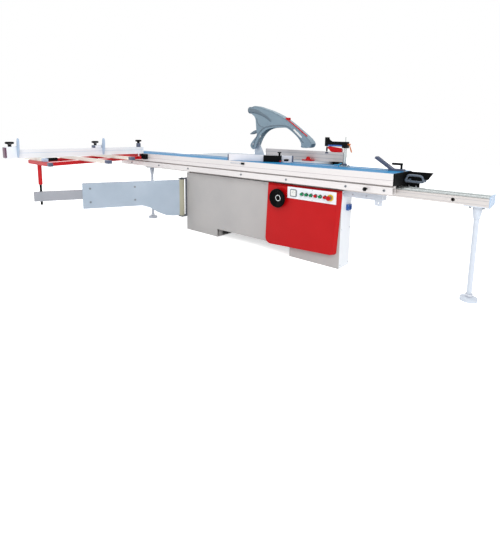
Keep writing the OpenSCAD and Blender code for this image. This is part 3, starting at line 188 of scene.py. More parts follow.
# the film is a plastic sheet, so metal and sheen fade where it lies
for socket, bare, filmed in (("Metallic", 0.12, 0.0), ("Specular IOR Level", 0.5, 0.02)):
    fade = addNode(tree, "ShaderNodeMapRange", {"Value": film, "To Min": bare, "To Max": filmed})
    tree.links.new(fade.outputs["Result"], shader.inputs[socket])
print("finishes:", len(finishes))


def putPiece(name, shape, finish, body, bevel=0.0, over=None):
    # one shape or a list of them as one mesh, faces turned outward, edges past 35 degrees kept sharp
    points, faces = join(*shape) if isinstance(shape, list) else shape
    mesh = bpy.data.meshes.new(name)
    mesh.from_pydata(np.asarray(points).tolist(), [], faces)
    work = bmesh.new()
    work.from_mesh(mesh)
    bmesh.ops.remove_doubles(work, verts=work.verts, dist=1e-6)
    bmesh.ops.recalc_face_normals(work, faces=work.faces)
    work.to_mesh(mesh)
    work.free()
    piece = bpy.data.objects.new(name, mesh)
    scene.collection.objects.link(piece)
    mesh.materials.append(finishes[finish])
    mesh.set_sharp_from_angle(angle=math.radians(35))
    mesh.polygons.foreach_set("use_smooth", np.ones(len(mesh.polygons), dtype=bool))
    if bevel:
        edge = piece.modifiers.new("softEdges", "BEVEL")
        edge.width, edge.segments, edge.limit_method = bevel, 2, "ANGLE"
    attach(piece, body)
    if over:
        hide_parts(*over)


def join(*shapes):
    # several shapes as one, each one's faces counted on from the last
    points, faces, count = [], [], 0
    for p, f in shapes:
        points.append(np.asarray(p, dtype=float))
        faces += [[i + count for i in face] for face in f]
        count += len(p)
    return np.concatenate(points), faces


def loft(loops, caps=True):
    # closed loops of one count, each joined to the next by quads, with a flat face over both ends
    n, m, _ = loops.shape
    i, j = np.meshgrid(np.arange(n - 1), np.arange(m), indexing="ij")
    a, b = i * m + j, i * m + (j + 1) % m
    faces = np.stack([a, b, b + m, a + m], -1).reshape(-1, 4).tolist()
    if caps:
        faces += [list(range(m))[::-1], list(range((n - 1) * m, n * m))]
    return loops.reshape(-1, 3), faces


def basis(axis):
    # two directions square to the axis, and the axis itself
    w = np.array(axis, dtype=float) / np.linalg.norm(axis)
    u = np.cross([0, 0, 1.0] if abs(w[2]) < 0.9 else [1.0, 0, 0], w)
    u /= np.linalg.norm(u)
    return u, np.cross(w, u), w


def turned(profile, centre, axis, steps=40, lobes=0, wave=0.0):
    # radius and height pairs turned about an axis; lobes ripple the radius by wave times a cosine
    u, v, w = basis(axis)
    p = np.array(profile, dtype=float)
    t = np.linspace(0, 2 * np.pi, steps, endpoint=False)
    r = np.maximum(p[:, :1], 2e-5) * (1 + wave * np.cos(lobes * t))[None, :]
    loops = (np.array(centre) + (r * np.cos(t))[..., None] * u + (r * np.sin(t))[..., None] * v
             + p[:, 1][:, None, None] * w)
    return loft(loops)


def roundLoop(w, h, r, steps=4):
    # rectangle whose corners are quarter circles of radius r
    a = np.linspace(0, np.pi / 2, steps + 1)
    quarter = np.stack([np.cos(a), np.sin(a)], -1) * r
    turns = [np.array([[np.cos(k), -np.sin(k)], [np.sin(k), np.cos(k)]]) for k in np.arange(4) * np.pi / 2]
    x, y = w / 2 - r, h / 2 - r
    return np.concatenate([quarter @ q.T + c for q, c in zip(turns, [(x, y), (-x, y), (-x, -y), (x, -y)])])


def block(low, high, r, axis=2):
    # rounded bar: rounded rectangles stacked along an axis, drawn in at both ends by a quarter circle
    low, high = np.array(low, dtype=float), np.array(high, dtype=float)
    k = [(1, 2, 0), (2, 0, 1), (0, 1, 2)][axis]
    size, mid = (high - low)[list(k)], ((high + low) / 2)[list(k)]
    a = np.linspace(0, np.pi / 2, 5)
    ends = [(d, z - size[2] / 2) for d, z in zip(r * (1 - np.sin(a)), r * (1 - np.cos(a)))]
    ends += [(d, -z) for d, z in ends[::-1]]
    loops = np.zeros((len(ends), 4 * len(a), 3))
    for loop, (d, z) in zip(loops, ends):
        loop[:, k[:2]] = roundLoop(size[0] - 2 * d, size[1] - 2 * d, max(r - d, r * 0.05)) + mid[:2]
        loop[:, k[2]] = z + mid[2]
    return loft(loops)


def pushed(outline, axis, start, end):
    # flat outline carried straight along one axis; outline columns are the two other axes in X, Y, Z order
    k = [i for i in range(3) if i != axis]
    loops = np.zeros((2, len(outline), 3))
    loops[:, :, k] = np.array(outline)
    loops[0, :, axis], loops[1, :, axis] = start, end
    return loft(loops)


def tube(path, radius, steps=12, closed=False):
    # circle carried along a path, set square to the path's local direction
    p = np.array(path, dtype=float)
    d = np.roll(p, -1, 0) - np.roll(p, 1, 0) if closed else np.gradient(p, axis=0)
    d /= np.linalg.norm(d, axis=1)[:, None]
    side = np.cross(d, np.where(np.abs(d[:, 2:3]) < 0.9, [[0, 0, 1.0]], [[0, 1.0, 0]]))
    side /= np.linalg.norm(side, axis=1)[:, None]
    top = np.cross(side, d)
    t = np.linspace(0, 2 * np.pi, steps, endpoint=False)
    r = np.broadcast_to(np.asarray(radius, dtype=float), (len(p),))[:, None, None]
    loops = p[:, None] + r * (np.cos(t)[:, None] * side[:, None] + np.sin(t)[:, None] * top[:, None])
    if closed:
        return loft(np.concatenate([loops, loops[:1]]), caps=False)
    return loft(loops)


def softened(points, rounds=3, closed=False):
    # corner cutting: each side keeps its middle half, so corners become curves
    p = np.array(points, dtype=float)
    for _ in range(rounds):
        q = np.roll(p, -1, 0) if closed else p[1:]
        a = p if closed else p[:-1]
        cut = np.stack([0.75 * a + 0.25 * q, 0.25 * a + 0.75 * q], 1).reshape(-1, p.shape[1])
        p = cut if closed else np.concatenate([p[:1], cut, p[-1:]])
    return p


def evenly(points, count):
    # the same line with points at equal steps of length
    step = np.linalg.norm(np.diff(points, axis=0), axis=1)
    s = np.concatenate([[0], np.cumsum(step)])
    t = np.linspace(0, s[-1], count)
    return np.stack([np.interp(t, s, points[:, k]) for k in range(points.shape[1])], -1)


def standing(line, y):
    # a line of X and Z stood upright at one Y
    return np.stack([line[:, 0], np.full(len(line), y), line[:, 1]], -1)


def halfRim(x, z, r):
    # left half of a circle in X and Z, from its top round to its foot
    a = np.radians(np.arange(90, 271, 20))
    return np.stack([x + r * np.cos(a), z + r * np.sin(a)], -1)


def flattened(shape, wall, share):
    # Y drawn toward a wall, so that a round form lies low on it
    points, faces = shape
    points[:, 1] = wall + (points[:, 1] - wall) * share
    return points, faces


def screwHead(at, axis, r, h):
    # turned cap with a rounded rim and a six-sided socket sunk in it
    cap = turned([(r, 0), (r, h * 0.75), (r * 0.9, h), (r * 0.55, h)], at, axis, 20)
    return join(cap, turned([(r * 0.55, h), (r * 0.52, h * 0.45), (0, h * 0.45)], at, axis, 6))


def putScrews(name, spots, axis, size, finish="zincSteel", body="base"):
    # one head at each spot; size is its radius and height
    putPiece(name, [screwHead(at, axis, *size) for at in spots], finish, body)


def putTurned(name, profile, at, axis, steps, finish, body, over=None):
    # one turned form as a piece of its own
    putPiece(name, turned(profile, at, axis, steps), finish, body, over=over)


def oblong(u0, u1, v0, v1):
    # four corners of a flat rectangle
    return [(u0, v0), (u1, v0), (u1, v1), (u0, v1)]


def knob(at, axis, d, h, stem, lobes=6, wave=0.07):
    # turned knob on a stem whose rim swells into finger lobes
    r = d / 2
    head = [(0, stem), (r * 0.55, stem), (r * 0.86, stem + h * 0.12), (r * 0.93, stem + h * 0.35),
            (r * 0.93, stem + h * 0.7), (r * 0.84, stem + h * 0.92), (r * 0.5, stem + h), (0, stem + h)]
    head = turned(head, at, axis, 48, lobes, wave)
    return join(head, turned([(r * 0.42, 0), (r * 0.42, stem * 0.5), (r * 0.5, stem * 1.02)], at, axis, 24))


def moved(shape, origin, turn):
    # local X laid along a level direction at an angle from +X, Y square to it, Z kept upright
    c, s = math.cos(turn), math.sin(turn)
    return np.asarray(shape[0]) @ np.array([[c, s, 0], [-s, c, 0], [0, 0, 1]]) + origin, shape[1]


def ticks(start, step, count, length, width, axis):
    # row of thin bars on a level face, at equal steps along X or Y, every fifth one longer
    n = np.arange(count)
    base = np.array(start) + np.outer(n * step, np.eye(3)[axis])
    a = np.eye(3)[axis] * width / 2
    reach = np.outer(np.where(n % 5 == 0, length, length * 0.55), np.eye(3)[1 - axis])
    ends = [base - a, base + a, base + a + reach, base - a + reach]
    points = np.stack(ends + [e + [0, 0, 0.0002] for e in ends], 1).reshape(-1, 3)
    cube = np.array([[0, 1, 2, 3], [4, 7, 6, 5], [0, 4, 5, 1], [1, 5, 6, 2], [2, 6, 7, 3], [3, 7, 4, 0]])
    return points, (cube[None] + 8 * n[:, None, None]).reshape(-1, 4).tolist()


def boxOf(node):
    # a node's lowest and highest corners and the middle between them
    lo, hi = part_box(node)
    return lo, hi, [(a + b) / 2 for a, b in zip(lo, hi)]


nodeFinish = {
    "powderCoatDarkAndGapShade": "arm_hinge", "powderCoatGrey": "front_panel rear_cabinet base_frame",
    "powderCoatWhite": "control_panel end_panel", "powderCoatLeg": "beam_arm support_legs",
    "powderCoatArm": "swing_arm", "lacqueredRed": "red_cover", "enamelRed": "outrigger_frame",
    "bluePlastic": "power_inlet", "groundCastIron": "main_table",
    "rolledSteel": "extension_tables riving_knife", "anodisedBeam": "beam",
    "brightSteel": "guide_rails rip_rail main_arbor saw_blade scoring_spindle clamp_post",
    "capPlastic": "beam_caps", "castGrey": "saw_cradle saw_arm motor_pulley",
    "motorEnamel": "motor scoring_motor", "beltRubber": "drive_belt", "filmedCarriage": "carriage",
    "zincSteel": "roller_truck", "paintedSteel": "arm_slider",
    "anodisedFence": "crosscut_fence fence_extension stop_near", "anodisedAluminium": "mitre_fence",
    "anodisedRip": "rip_fence", "blackNylon": "clamp_arm mitre_stop shoe_lever end_bracket rip_carrier",
    "slateNylon": "edging_shoe",
}
for finish, names in nodeFinish.items():
    for name in names.split():
        node = nodes[name]
        if not node.material_slots:
            node.data.materials.append(finishes[finish])
        for slot in node.material_slots:
            slot.material = finishes[finish]
print("frame dressed")

# push buttons, stop and meter: heights run toward the viewer, from the panel or from a button's foot
panel = {"bezel": 0.0172, "bezelT": 0.0052, "ring": 0.0303, "ringT": 0.0053, "gap": 0.0004, "bore": 0.0092,
         "stem": 0.0079, "reach": 0.014, "screwX": 0.75, "screwIn": 0.008,
         "colours": ["greenPlastic"] * 3 + ["redPlastic", "greenPlastic", "redPlastic"]}
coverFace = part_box("red_cover")[0][1]
panelY = coverFace - 0.006
bore, gap, stem = panel["bore"], panel["gap"], panel["stem"]


def keyPlace(node):
    # a button's foot, its spot on the panel, its radius, and the height of its stem's sunk end
    lo, hi, mid = boxOf(node)
    foot = lo[1] + panel["reach"]
    return (mid[0], foot, mid[2]), (mid[0], panelY, mid[2]), (hi[0] - lo[0]) / 2, foot - hi[1]


for i, finish in enumerate(panel["colours"], 1):
    foot, spot, r, sunk = keyPlace(f"button_{i}")
    cap = [(0, sunk), (stem, sunk), (stem, -0.0005), (r * 0.96, 0), (r, 0.001), (r, 0.0095),
           (r * 0.95, 0.0118), (r * 0.8, 0.0131), (r * 0.5, 0.0138), (0, panel["reach"])]
    putTurned(f"pushButton{i}", cap, foot, forward, 40, finish, f"key_{i}", [f"button_{i}"])
    lip = panel["bezelT"] + 0.0012
    collar = [(bore, gap), (panel["bezel"], gap), (panel["bezel"], 0.0035), (0.0162, panel["bezelT"]),
              (0.0128, lip), (0.0108, lip), (bore, 0.0042), (bore, gap)]
    putTurned(f"buttonBezel{i}", collar, spot, forward, 40, "blackNylon", "base")
foot, spot, r, sunk = keyPlace("stop_button")
mushroom = [(0, sunk), (stem, sunk), (stem, 0.0005), (r * 0.62, 0.0012), (r * 0.7, 0.0045),
            (r * 0.97, 0.0058), (r, 0.0075), (r * 0.98, 0.0098), (r * 0.85, 0.0122), (r * 0.5, 0.0137),
            (0, panel["reach"])]
putTurned("stopMushroom", mushroom, foot, forward, 48, "redPlastic", "stop_key", ["stop_button"])
disc = [(bore, gap), (panel["ring"], gap), (panel["ring"], 0.0036), (0.0288, panel["ringT"]),
        (0.0125, panel["ringT"]), (bore, 0.0046), (bore, gap)]
putTurned("stopDisc", disc, spot, forward, 48, "yellowPlastic", "base")
neck = [(0.0086, 0.0055), (0.015, 0.0055), (0.015, 0.0235), (0.013, 0.0258), (0.0086, 0.0258),
        (0.0086, 0.0055)]
putTurned("stopNeck", neck, spot, forward, 40, "inkGrey", "base")
meter = {"x": 0.551, "z": spot[2], "outer": 0.0668, "inner": 0.054, "front": 0.0086, "dial": 0.008,
         "pivot": 0.01, "marks": (0.0195, 0.0225, 0.0245), "needle": 2.2}
square = lambda w, r: roundLoop(w, w, r, 3) + [meter["x"], meter["z"]]
wide, narrow = square(meter["outer"], 0.006), square(meter["inner"], 0.004)
back, front = panelY - gap, panelY - meter["front"]
ring = [(wide, back), (wide, front), (narrow, front), (narrow, back), (wide, back)]
border = loft(np.stack([standing(line, y) for line, y in ring]), caps=False)
putPiece("meterFrame", border, "inkGrey", "base", bevel=0.0006)
dialY = panelY - meter["dial"]
dial = pushed(square(meter["inner"] + 0.001, 0.004), 1, dialY, dialY - 0.0003)
putPiece("meterDial", dial, "dialEnamel", "base")


def dialMark(outline, angle, top):
    # flat outline drawn along X, turned about the dial's pivot and raised a hair off the dial
    turn = np.array([[np.cos(angle), np.sin(angle)], [-np.sin(angle), np.cos(angle)]])
    spots = np.array(outline) @ turn + [meter["x"], meter["z"] - meter["pivot"]]
    return pushed(spots, 1, dialY - 0.0002, dialY - top)


inside, short, long = meter["marks"]
marks = []
for n, angle in enumerate(np.radians(np.linspace(40, 140, 21))):
    marks.append(dialMark(oblong(inside, short if n % 5 else long, -0.0004, 0.0004), angle, 0.0005))
needle = [[0, -0.0009], [0.021, -0.0002], [0.021, 0.0002], [0, 0.0009]]
marks.append(dialMark(needle, meter["needle"], 0.0006))
putPiece("meterMarks", marks, "inkGrey", "base")
lo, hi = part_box("control_panel")
for n, z in enumerate([hi[2] - panel["screwIn"], lo[2] + panel["screwIn"]]):
    putScrews(f"panelScrew{n + 1}", [(panel["screwX"], panelY + 0.0002, z)], forward, (0.0042, 0.0022))
print("control panel done")

# handwheel: round rim, web dished back to a dark hub, and a bright ring round the hub
wheel = {"x": 0.382, "z": 0.56, "y": coverFace - 0.034, "r": 0.08, "rim": 0.011, "ring": 0.0265,
         "ringBar": 0.0052, "ringBack": 0.016, "shaft": 0.0098, "shaftEnds": (-0.029, -0.128)}
centre = (wheel["x"], wheel["y"], wheel["z"])
a = np.linspace(0, 2 * np.pi, 72, endpoint=False)
unit = np.stack([np.cos(a), np.sin(a)], -1)
circle = lambda r, back: standing([wheel["x"], wheel["z"]] + r * unit, wheel["y"] + back)
dish = [(0, -0.03), (0.043, -0.03), (0.074, -0.006), (0.076, 0.004), (0.07, 0.003), (0.056, -0.005),
        (0.043, -0.014), (0.034, -0.018), (0.016, -0.018), (0.015, -0.008), (0.011, -0.004), (0, -0.003)]
dish = turned(dish, centre, forward, 64)
putPiece("wheelRim", [tube(circle(wheel["r"], 0), wheel["rim"], 16, closed=True), dish], "phenolicBlack",
         "wheel", over=["handwheel"])
putPiece("wheelRing", tube(circle(wheel["ring"], wheel["ringBack"]), wheel["ringBar"], 12, closed=True),
         "brightSteel", "wheel")
start, end = wheel["shaftEnds"]
shaft = [(0, start), (wheel["shaft"], start), (wheel["shaft"], end), (0, end)]
putTurned("wheelShaft", shaft, centre, forward, 24, "brightSteel", "wheel")
print("handwheel done")

# guard: shares of length and height, from the rear leg's foot over the top to the nose, and the arch under it
guard = {"at": (-0.2901, 0.9834), "size": (0.813, 0.474), "y": -0.058, "half": 0.0398, "wall": 0.003,
         "rollFrom": 0.8, "roll": 0.006,
         "top": [[0.03, 0.127], [0.09, 0.24], [0.148, 0.33], [0.13, 0.46], [0.125, 0.563], [0.113, 0.745],
                 [0.011, 0.85], [0, 0.9], [0.02, 0.955], [0.09, 1], [0.16, 0.98], [0.24, 0.94],
                 [0.4, 0.86], [0.61, 0.7], [0.93, 0.32], [0.98, 0.24], [1, 0.18], [0.99, 0.13],
                 [0.97, 0.1]],
         "arch": [[0.035, 0.06], [0.08, 0], [0.12, 0.03], [0.137, 0.105], [0.17, 0.24], [0.225, 0.37],
                  [0.3, 0.46], [0.37, 0.495], [0.435, 0.51], [0.59, 0.512], [0.64, 0.5], [0.74, 0.39],
                  [0.82, 0.27], [0.855, 0.16], [0.84, 0.1], [0.91, 0.09]],
         "lip": [[0.006, 0.35], [0.06, 0.352], [0.14, 0.4], [0.135, 0.455], [0.09, 0.44]],
         "window": [[0.735, 0.47], [0.855, 0.305]]}
onGuard = lambda shares: np.array(guard["at"]) + np.array(shares) * np.array(guard["size"])
nearWall, farWall = guard["y"] - guard["half"], guard["y"] + guard["half"]
outline = softened(np.concatenate([onGuard(guard["top"]), onGuard(guard["arch"])[::-1]]), 3, closed=True)
cheeks = [pushed(outline, 1, wall, wall + inward)
          for wall, inward in ((nearWall, guard["wall"]), (farWall, -guard["wall"]))]
crown = evenly(softened(onGuard(guard["top"])[8:17], 3), 60)
# band over the top: the upper edge carried across, its two rims rolled over by a quarter circle
s = np.linspace(-1, 1, 25)
roll = np.clip((np.abs(s) - guard["rollFrom"]) / (1 - guard["rollFrom"]), 0, 1)
slope = np.gradient(crown, axis=0)
slope /= np.linalg.norm(slope, axis=1)[:, None]
out = np.stack([-slope[:, 1], slope[:, 0]], -1)
drop = -guard["roll"] * (1 - np.sqrt(np.clip(1 - roll ** 2, 0, 1)))
grid = (len(crown), len(s))
outer = np.stack([np.broadcast_to(crown[:, None, 0], grid) + out[:, 0:1] * drop,
                  np.broadcast_to(guard["y"] + s * guard["half"], grid),
                  np.broadcast_to(crown[:, None, 1], grid) + out[:, 1:2] * drop], -1)
inner = outer - standing(out, 0)[:, None] * guard["wall"]
band = loft(np.concatenate([outer, inner[:, ::-1]], 1))
putPiece("guardHood", [*cheeks, band], "hoodAbs", "guard", bevel=0.0012, over=["guard_hood"])
# raised forms on the cheeks: round lines flattened against the wall, with a radius at each end; their darker
# hood plastic is painted shade of the relief
raised = {"Lobe": ([[0.02, 0.88], [0.08, 0.89], [0.19, 0.83], [0.3, 0.745], [0.375, 0.65]], 0.026, 0.01),
          "Arch": ([[0.075, 0.06], [0.105, 0.2], [0.165, 0.37], [0.25, 0.5], [0.35, 0.545], [0.6, 0.56],
                    [0.69, 0.49], [0.79, 0.35], [0.88, 0.2]], 0.008, 0.006),
          "Crease": ([[0.135, 0.72], [0.15, 0.61], [0.2, 0.53], [0.27, 0.515]], 0.007, 0.003)}
for name, (shares, start, end) in raised.items():
    line = evenly(softened(onGuard(shares), 3), 60)
    for wall, word in ((nearWall, "Near"), (farWall, "Far")):
        ridge = tube(standing(line, wall), np.linspace(start, end, len(line)), 16)
        putPiece(f"guard{name}{word}", flattened(ridge, wall, 0.35), "hoodAbsDarkAndShade", "guard")
trim = {"strip": [[0.205, 1.32], [0.3, 1.26], [0.47, 1.142]], "stripBar": 0.0055,
        "clip": ((0.196, guard["y"] - 0.022, 1.302), (0.226, guard["y"] + 0.022, 1.326)),
        "spigot": (-0.312, guard["y"], 1.4134), "spigotR": 0.036,
        "bolt": (-0.221, nearWall, 1.045), "boltHead": (0.011, 0.007), "window": 0.0095}
strip = evenly(np.array(trim["strip"]), 30)
strip = tube(standing(strip, nearWall - 0.001), trim["stripBar"], 10)
putPiece("guardRedStrip", strip, "redPlastic", "guard")
putPiece("guardRedClip", block(*trim["clip"], 0.004), "redPlastic", "guard")
lip = pushed(softened(onGuard(guard["lip"]), 2, closed=True), 1, nearWall - 0.001, guard["y"])
putPiece("guardLip", lip, "hoodAbsDarkAndShade", "guard", bevel=0.003)
r = trim["spigotR"]
spigot = [(0.033, 0), (0.0345, -0.001), (r, 0.0015), (r, 0.018), (0.0352, 0.022), (0.0352, 0.058),
          (0.033, 0.058), (0.033, 0)]
putTurned("hoseSpigot", spigot, trim["spigot"], endward, 48, "hoodAbsDarkAndShade", "guard")
farEnd = (trim["bolt"][0], farWall, trim["bolt"][2])
pivotBolt = [screwHead(trim["bolt"], forward, *trim["boltHead"]),
             turned([(0.0058, 0), (0.0058, -0.08)], trim["bolt"], forward, 20),
             screwHead(farEnd, backward, *trim["boltHead"])]
putPiece("guardPivotBolt", pivotBolt, "zincSteel", "guard")
window = evenly(onGuard(guard["window"]), 14)
swell = trim["window"] * np.sin(np.linspace(0.5, np.pi - 0.5, len(window))) ** 0.3
sight = tube(standing(window, nearWall), swell, 12)
putPiece("guardSightStrip", flattened(sight, nearWall, 0.12), "dialEnamel", "guard")
print("guard done")

# carriage: bolts along the skirt, a screwed plate on the far end, the lock knob and the D grip
carriage = {"front": -0.44, "boltZ": 0.745, "boltX": (-2.089, -1.481, -0.92, -0.089, 0.474, 1.074, 1.397),
            "left": -2.339, "plateT": 0.006,
            "plate": [(-0.44, 0.716), (-0.37, 0.716), (-0.37, 0.846), (-0.135, 0.846), (-0.07, 0.872),
                      (-0.07, 0.88), (-0.44, 0.88)],
            "screws": ((-0.405, 0.74), (-0.405, 0.83), (-0.25, 0.862), (-0.14, 0.866))}
putScrews("skirtBolts", product(carriage["boltX"], [carriage["front"]], [carriage["boltZ"]]), forward,
          (0.01, 0.006), "castGrey", "sled")
plateX = carriage["left"] - carriage["plateT"]
putPiece("carriageEndPlate", pushed(carriage["plate"], 0, plateX, carriage["left"]), "blackNylon", "sled",
         bevel=0.0015)
putScrews("carriageEndScrews", [(plateX, *at) for at in carriage["screws"]], (-1, 0, 0), (0.005, 0.003),
          "zincSteel", "sled")
lo, hi, mid = boxOf("lock_knob")
putPiece("lockKnob", knob((mid[0], carriage["front"], mid[2]), forward, 0.034, 0.018,
                          carriage["front"] - lo[1] - 0.0185), "blackNylon", "lock", over=["lock_knob"])
# small black holder with a pale rod on the upper band of the front
holder = {"low": (-0.085, -0.452, 0.848), "high": (-0.045, -0.4401, 0.868), "rod": 0.004,
          "rodEnds": [(-0.235, -0.447, 0.8585), (-0.075, -0.447, 0.8585)]}
putPiece("frontHolder", block(holder["low"], holder["high"], 0.003), "blackNylon", "sled")
putPiece("frontRod", tube(holder["rodEnds"], holder["rod"]), "zincSteel", "sled")
# dark closure over the carriage's end, stepped down behind the rails
closure = {"x": (1.4612, 1.4728), "y": (-0.3695, -0.1675, -0.142), "low": 0.738, "high": 0.8458}
near, step, far = closure["y"]
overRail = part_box("guide_rails")[1][2] + 0.006
endLine = [(near, overRail), (step, overRail), (step, closure["low"]), (far, closure["low"]),
           (far, closure["high"]), (near, closure["high"])]
putPiece("carriageClosure", pushed(endLine, 0, *closure["x"]), "blackNylon", "sled", bevel=0.001)
grip = {"y": -0.232, "bar": 0.0088, "posts": (1.49, 1.606), "low": 0.8125,
        "foot": ((1.385, -0.1602, 0.738), (1.566, -0.1408, 0.7935)),
        "bolts": ((1.49, -0.1602, 0.765), (1.545, -0.1602, 0.765)),
        "line": [[1.483, 0.8095], [1.492, 0.809], [1.55, 0.809], [1.596, 0.809], [1.613, 0.8105],
                 [1.616, 0.819], [1.612, 0.839], [1.605, 0.851], [1.59, 0.857], [1.55, 0.858],
                 [1.516, 0.858], [1.502, 0.8555], [1.494, 0.845], [1.484, 0.819]]}
bow = standing(softened(grip["line"], 2, closed=True), grip["y"])
standoffs = [turned([(0.0068, 0), (0.0072, 0.07), (0.011, 0.076), (0.011, 0.0808)],
                    (x, grip["y"], grip["low"]), backward, 24) for x in grip["posts"]]
putPiece("dGrip", [tube(bow, grip["bar"], 16, closed=True), *standoffs], "handleNylon", "sled",
         over=["push_handle"])
putScrews("bracketBolts", grip["bolts"], forward, (0.006, 0.004), "zincSteel", "sled")
putPiece("bracketFoot", block(*grip["foot"], 0.003, 0), "blackNylon", "sled")
print("carriage done")

# outrigger bars: a drawn section with a shallow groove on three faces, carried along X, with moulded caps
bars = {"ends": (-1.3155, -1.0304, -1.6297), "lengths": (1.0956, 1.32, 0.7656),
        "y": (-0.96394, -1.40078, -1.762), "w": 0.04, "low": 0.8462, "high": 0.8798, "groove": 0.0025,
        "cap": 0.06, "lap": 0.004, "proud": 0.0028}
w, h, g = bars["w"], bars["high"] - bars["low"], bars["groove"]
section = np.array([[0, 0], [w, 0], [w, h * 0.35], [w - g, h * 0.42], [w - g, h * 0.58], [w, h * 0.65],
                    [w, h], [w * 0.62, h], [w * 0.58, h - g], [w * 0.42, h - g], [w * 0.38, h], [0, h],
                    [0, h * 0.65], [g, h * 0.58], [g, h * 0.42], [0, h * 0.35]])
rods, caps = [], []
for end, length, y in zip(bars["ends"], bars["lengths"], bars["y"]):
    rods.append(pushed(section + [y, bars["low"]], 0, end - length, end))
    for x in (end - bars["lap"], end - length - bars["cap"]):
        capLow = (x, y - bars["proud"], bars["low"] - 0.0001)
        capHigh = (x + bars["cap"] + bars["lap"], y + w + bars["proud"], bars["high"] + 0.0002)
        caps.append(block(capLow, capHigh, 0.005, 0))
putPiece("panelBars", rods, "anodisedBars", "sled", bevel=0.0008, over=["support_bars"])
# rig: the frame's tube cap and plug, end clamp, knobs, post sleeve and the outer bar's lever
rig = {"tubeCap": ((-1.4505, -1.783, 0.81), (-1.4, -1.744, 0.8459)),
       "plug": (-1.762, 0.828), "plugW": 0.0352, "plugX": (-1.9465, -1.9435),
       "clamp": ((-1.83, -0.479, 0.8076), (-1.715, -0.4403, 0.8745)),
       "knobs": ((-2.3, -0.458, 0.8722), (-2, -0.458, 0.8722)), "post": (-1.6985, -1.762, 0.6042),
       "lever": ((-1.68, -1.724, 0.847), (-1.63, -1.6, 0.8796))}
putPiece("outerBarEnd", caps.pop(4), "capPlastic", "sled")  # the outer bar's right-hand end is pale
putPiece("barCaps", [*caps, block(*rig["tubeCap"], 0.004, 0)], "slateNylon", "sled")
plug = pushed(roundLoop(rig["plugW"], rig["plugW"], 0.003) + rig["plug"], 0, *rig["plugX"])
putPiece("tubePlugEnd", plug, "blackNylon", "sled")
putPiece("rigEndClamp", block(*rig["clamp"], 0.004, 0), "blackNylon", "sled")
putPiece("rigKnobs", [knob(at, upward, 0.036, 0.012, 0.004) for at in rig["knobs"]], "blackNylon", "sled")
sleeve = [(0.0171, 0), (0.0196, 0.001), (0.0198, 0.206), (0.0171, 0.206)]
putTurned("postSleeve", sleeve, rig["post"], upward, 40, "enamelRed", "sled")
putPiece("barLever", block(*rig["lever"], 0.006, 1), "blackNylon", "sled")
print("outrigger done")

# swing arm: plate bolts, hinge barrel and cap, the telescopic section's end cap and the pin's sleeves
arm = {"hinge": (-1.055, -0.425, 0), "turn": math.radians(244.3), "face": 0.03, "pin": 1.4837,
       "boltX": (0.545, 1.012), "boltZ": (0.395, 0.543), "barrel": (0.0256, 0.0303), "stripW": 0.036,
       "gapShade": ((-1.0192, -0.405), (-1.0152, -0.37)), "capZ": 0.6202,
       "sleeves": ((0.5302, 0.072), (0.392, 0.0378)),
       "endCap": ((1.5457, -0.0225, 0.4305), (1.5492, 0.0225, 0.5295))}
face = arm["face"]
inArm = lambda shape: moved(shape, arm["hinge"], arm["turn"])
plateBolts = [screwHead(at, backward, 0.011, 0.006) for at in product(arm["boltX"], [face], arm["boltZ"])]
putPiece("armBolts", inArm(join(*plateBolts)), "castGrey", "swing")
lo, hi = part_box("swing_arm")
foot, top = lo[2] + 0.0003, hi[2] - 0.0003
bore, r = arm["barrel"]
barrel = turned([(bore, foot), (r, foot), (r, top), (bore, top)], (0, 0, 0), upward, 48)
strip = block((0, face - 0.0005, lo[2] + 0.0105), (arm["stripW"], face + 0.0018, hi[2] - 0.0105), 0.001)
putPiece("hingeBarrel", inArm(join(barrel, strip)), "powderCoatOlive", "swing")
# thin dark plate beside the hinge barrel: painted shade of the gap between barrel and cabinet
gapShade = [(*spot, corner[2]) for spot, corner in zip(arm["gapShade"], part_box("arm_hinge"))]
putPiece("hingeGapShade", block(*gapShade, 0.0012), "powderCoatDarkAndGapShade", "base")
hingeCap = [(0, 0), (0.0185, 0), (0.0185, 0.004), (0.015, 0.007), (0, 0.008)]
putPiece("hingeCaps", inArm(turned(hingeCap, (0, 0, arm["capZ"]), upward, 32)), "blackNylon", "base")
putPiece("sliderCap", inArm(block(*arm["endCap"], 0.0015, 0)), "blackNylon", "reach")
pinSleeves = [turned([(0.0102, 0), (0.0116, 0.001), (0.0116, t - 0.001), (0.0102, t)], (arm["pin"], 0, z),
                     upward, 32) for z, t in arm["sleeves"]]
putPiece("pinSleeves", inArm(join(*pinSleeves)), "blackNylon", "reach")
print("swing arm done")

# crosscut fence: ruler, a pale groove, knobs, end caps and two curved flip fingers
fence = {"x": -1.83, "w": 0.06, "far": -1.94, "near": -0.47, "low": 0.8804, "high": 0.965, "saddle": -1.125,
         "pin": (-1.8, -0.52), "groove": (0.93, 0.9325), "end": ((-1.8386, 0.886), (-1.7614, 0.99)),
         "boss": (-1.8, 0.9824), "bossR": 0.0167, "pads": (-0.0005, 0.0822), "padZ": (0.9656, 0.9968)}
right = fence["x"] + fence["w"]
start = (fence["x"] + 0.05, fence["far"] + 0.03, fence["high"])
putPiece("fenceRuler", ticks(start, 0.01, 136, 0.008, 0.0012, 1), "inkGrey", "cross")
groove = oblong(right - 0.0002, right + 0.0003, *fence["groove"])
groove = pushed(groove, 1, fence["far"] + 0.001, fence["near"] - 0.001)
putPiece("fenceGroove", groove, "capPlastic", "cross")
endCap = block((fence["x"] - 0.0005, fence["near"] - 0.001, fence["low"]),
               (right + 0.0005, fence["near"] + 0.005, fence["high"] + 0.0003), 0.002, 1)
putPiece("fenceEndCap", endCap, "powderCoatWhite", "cross")
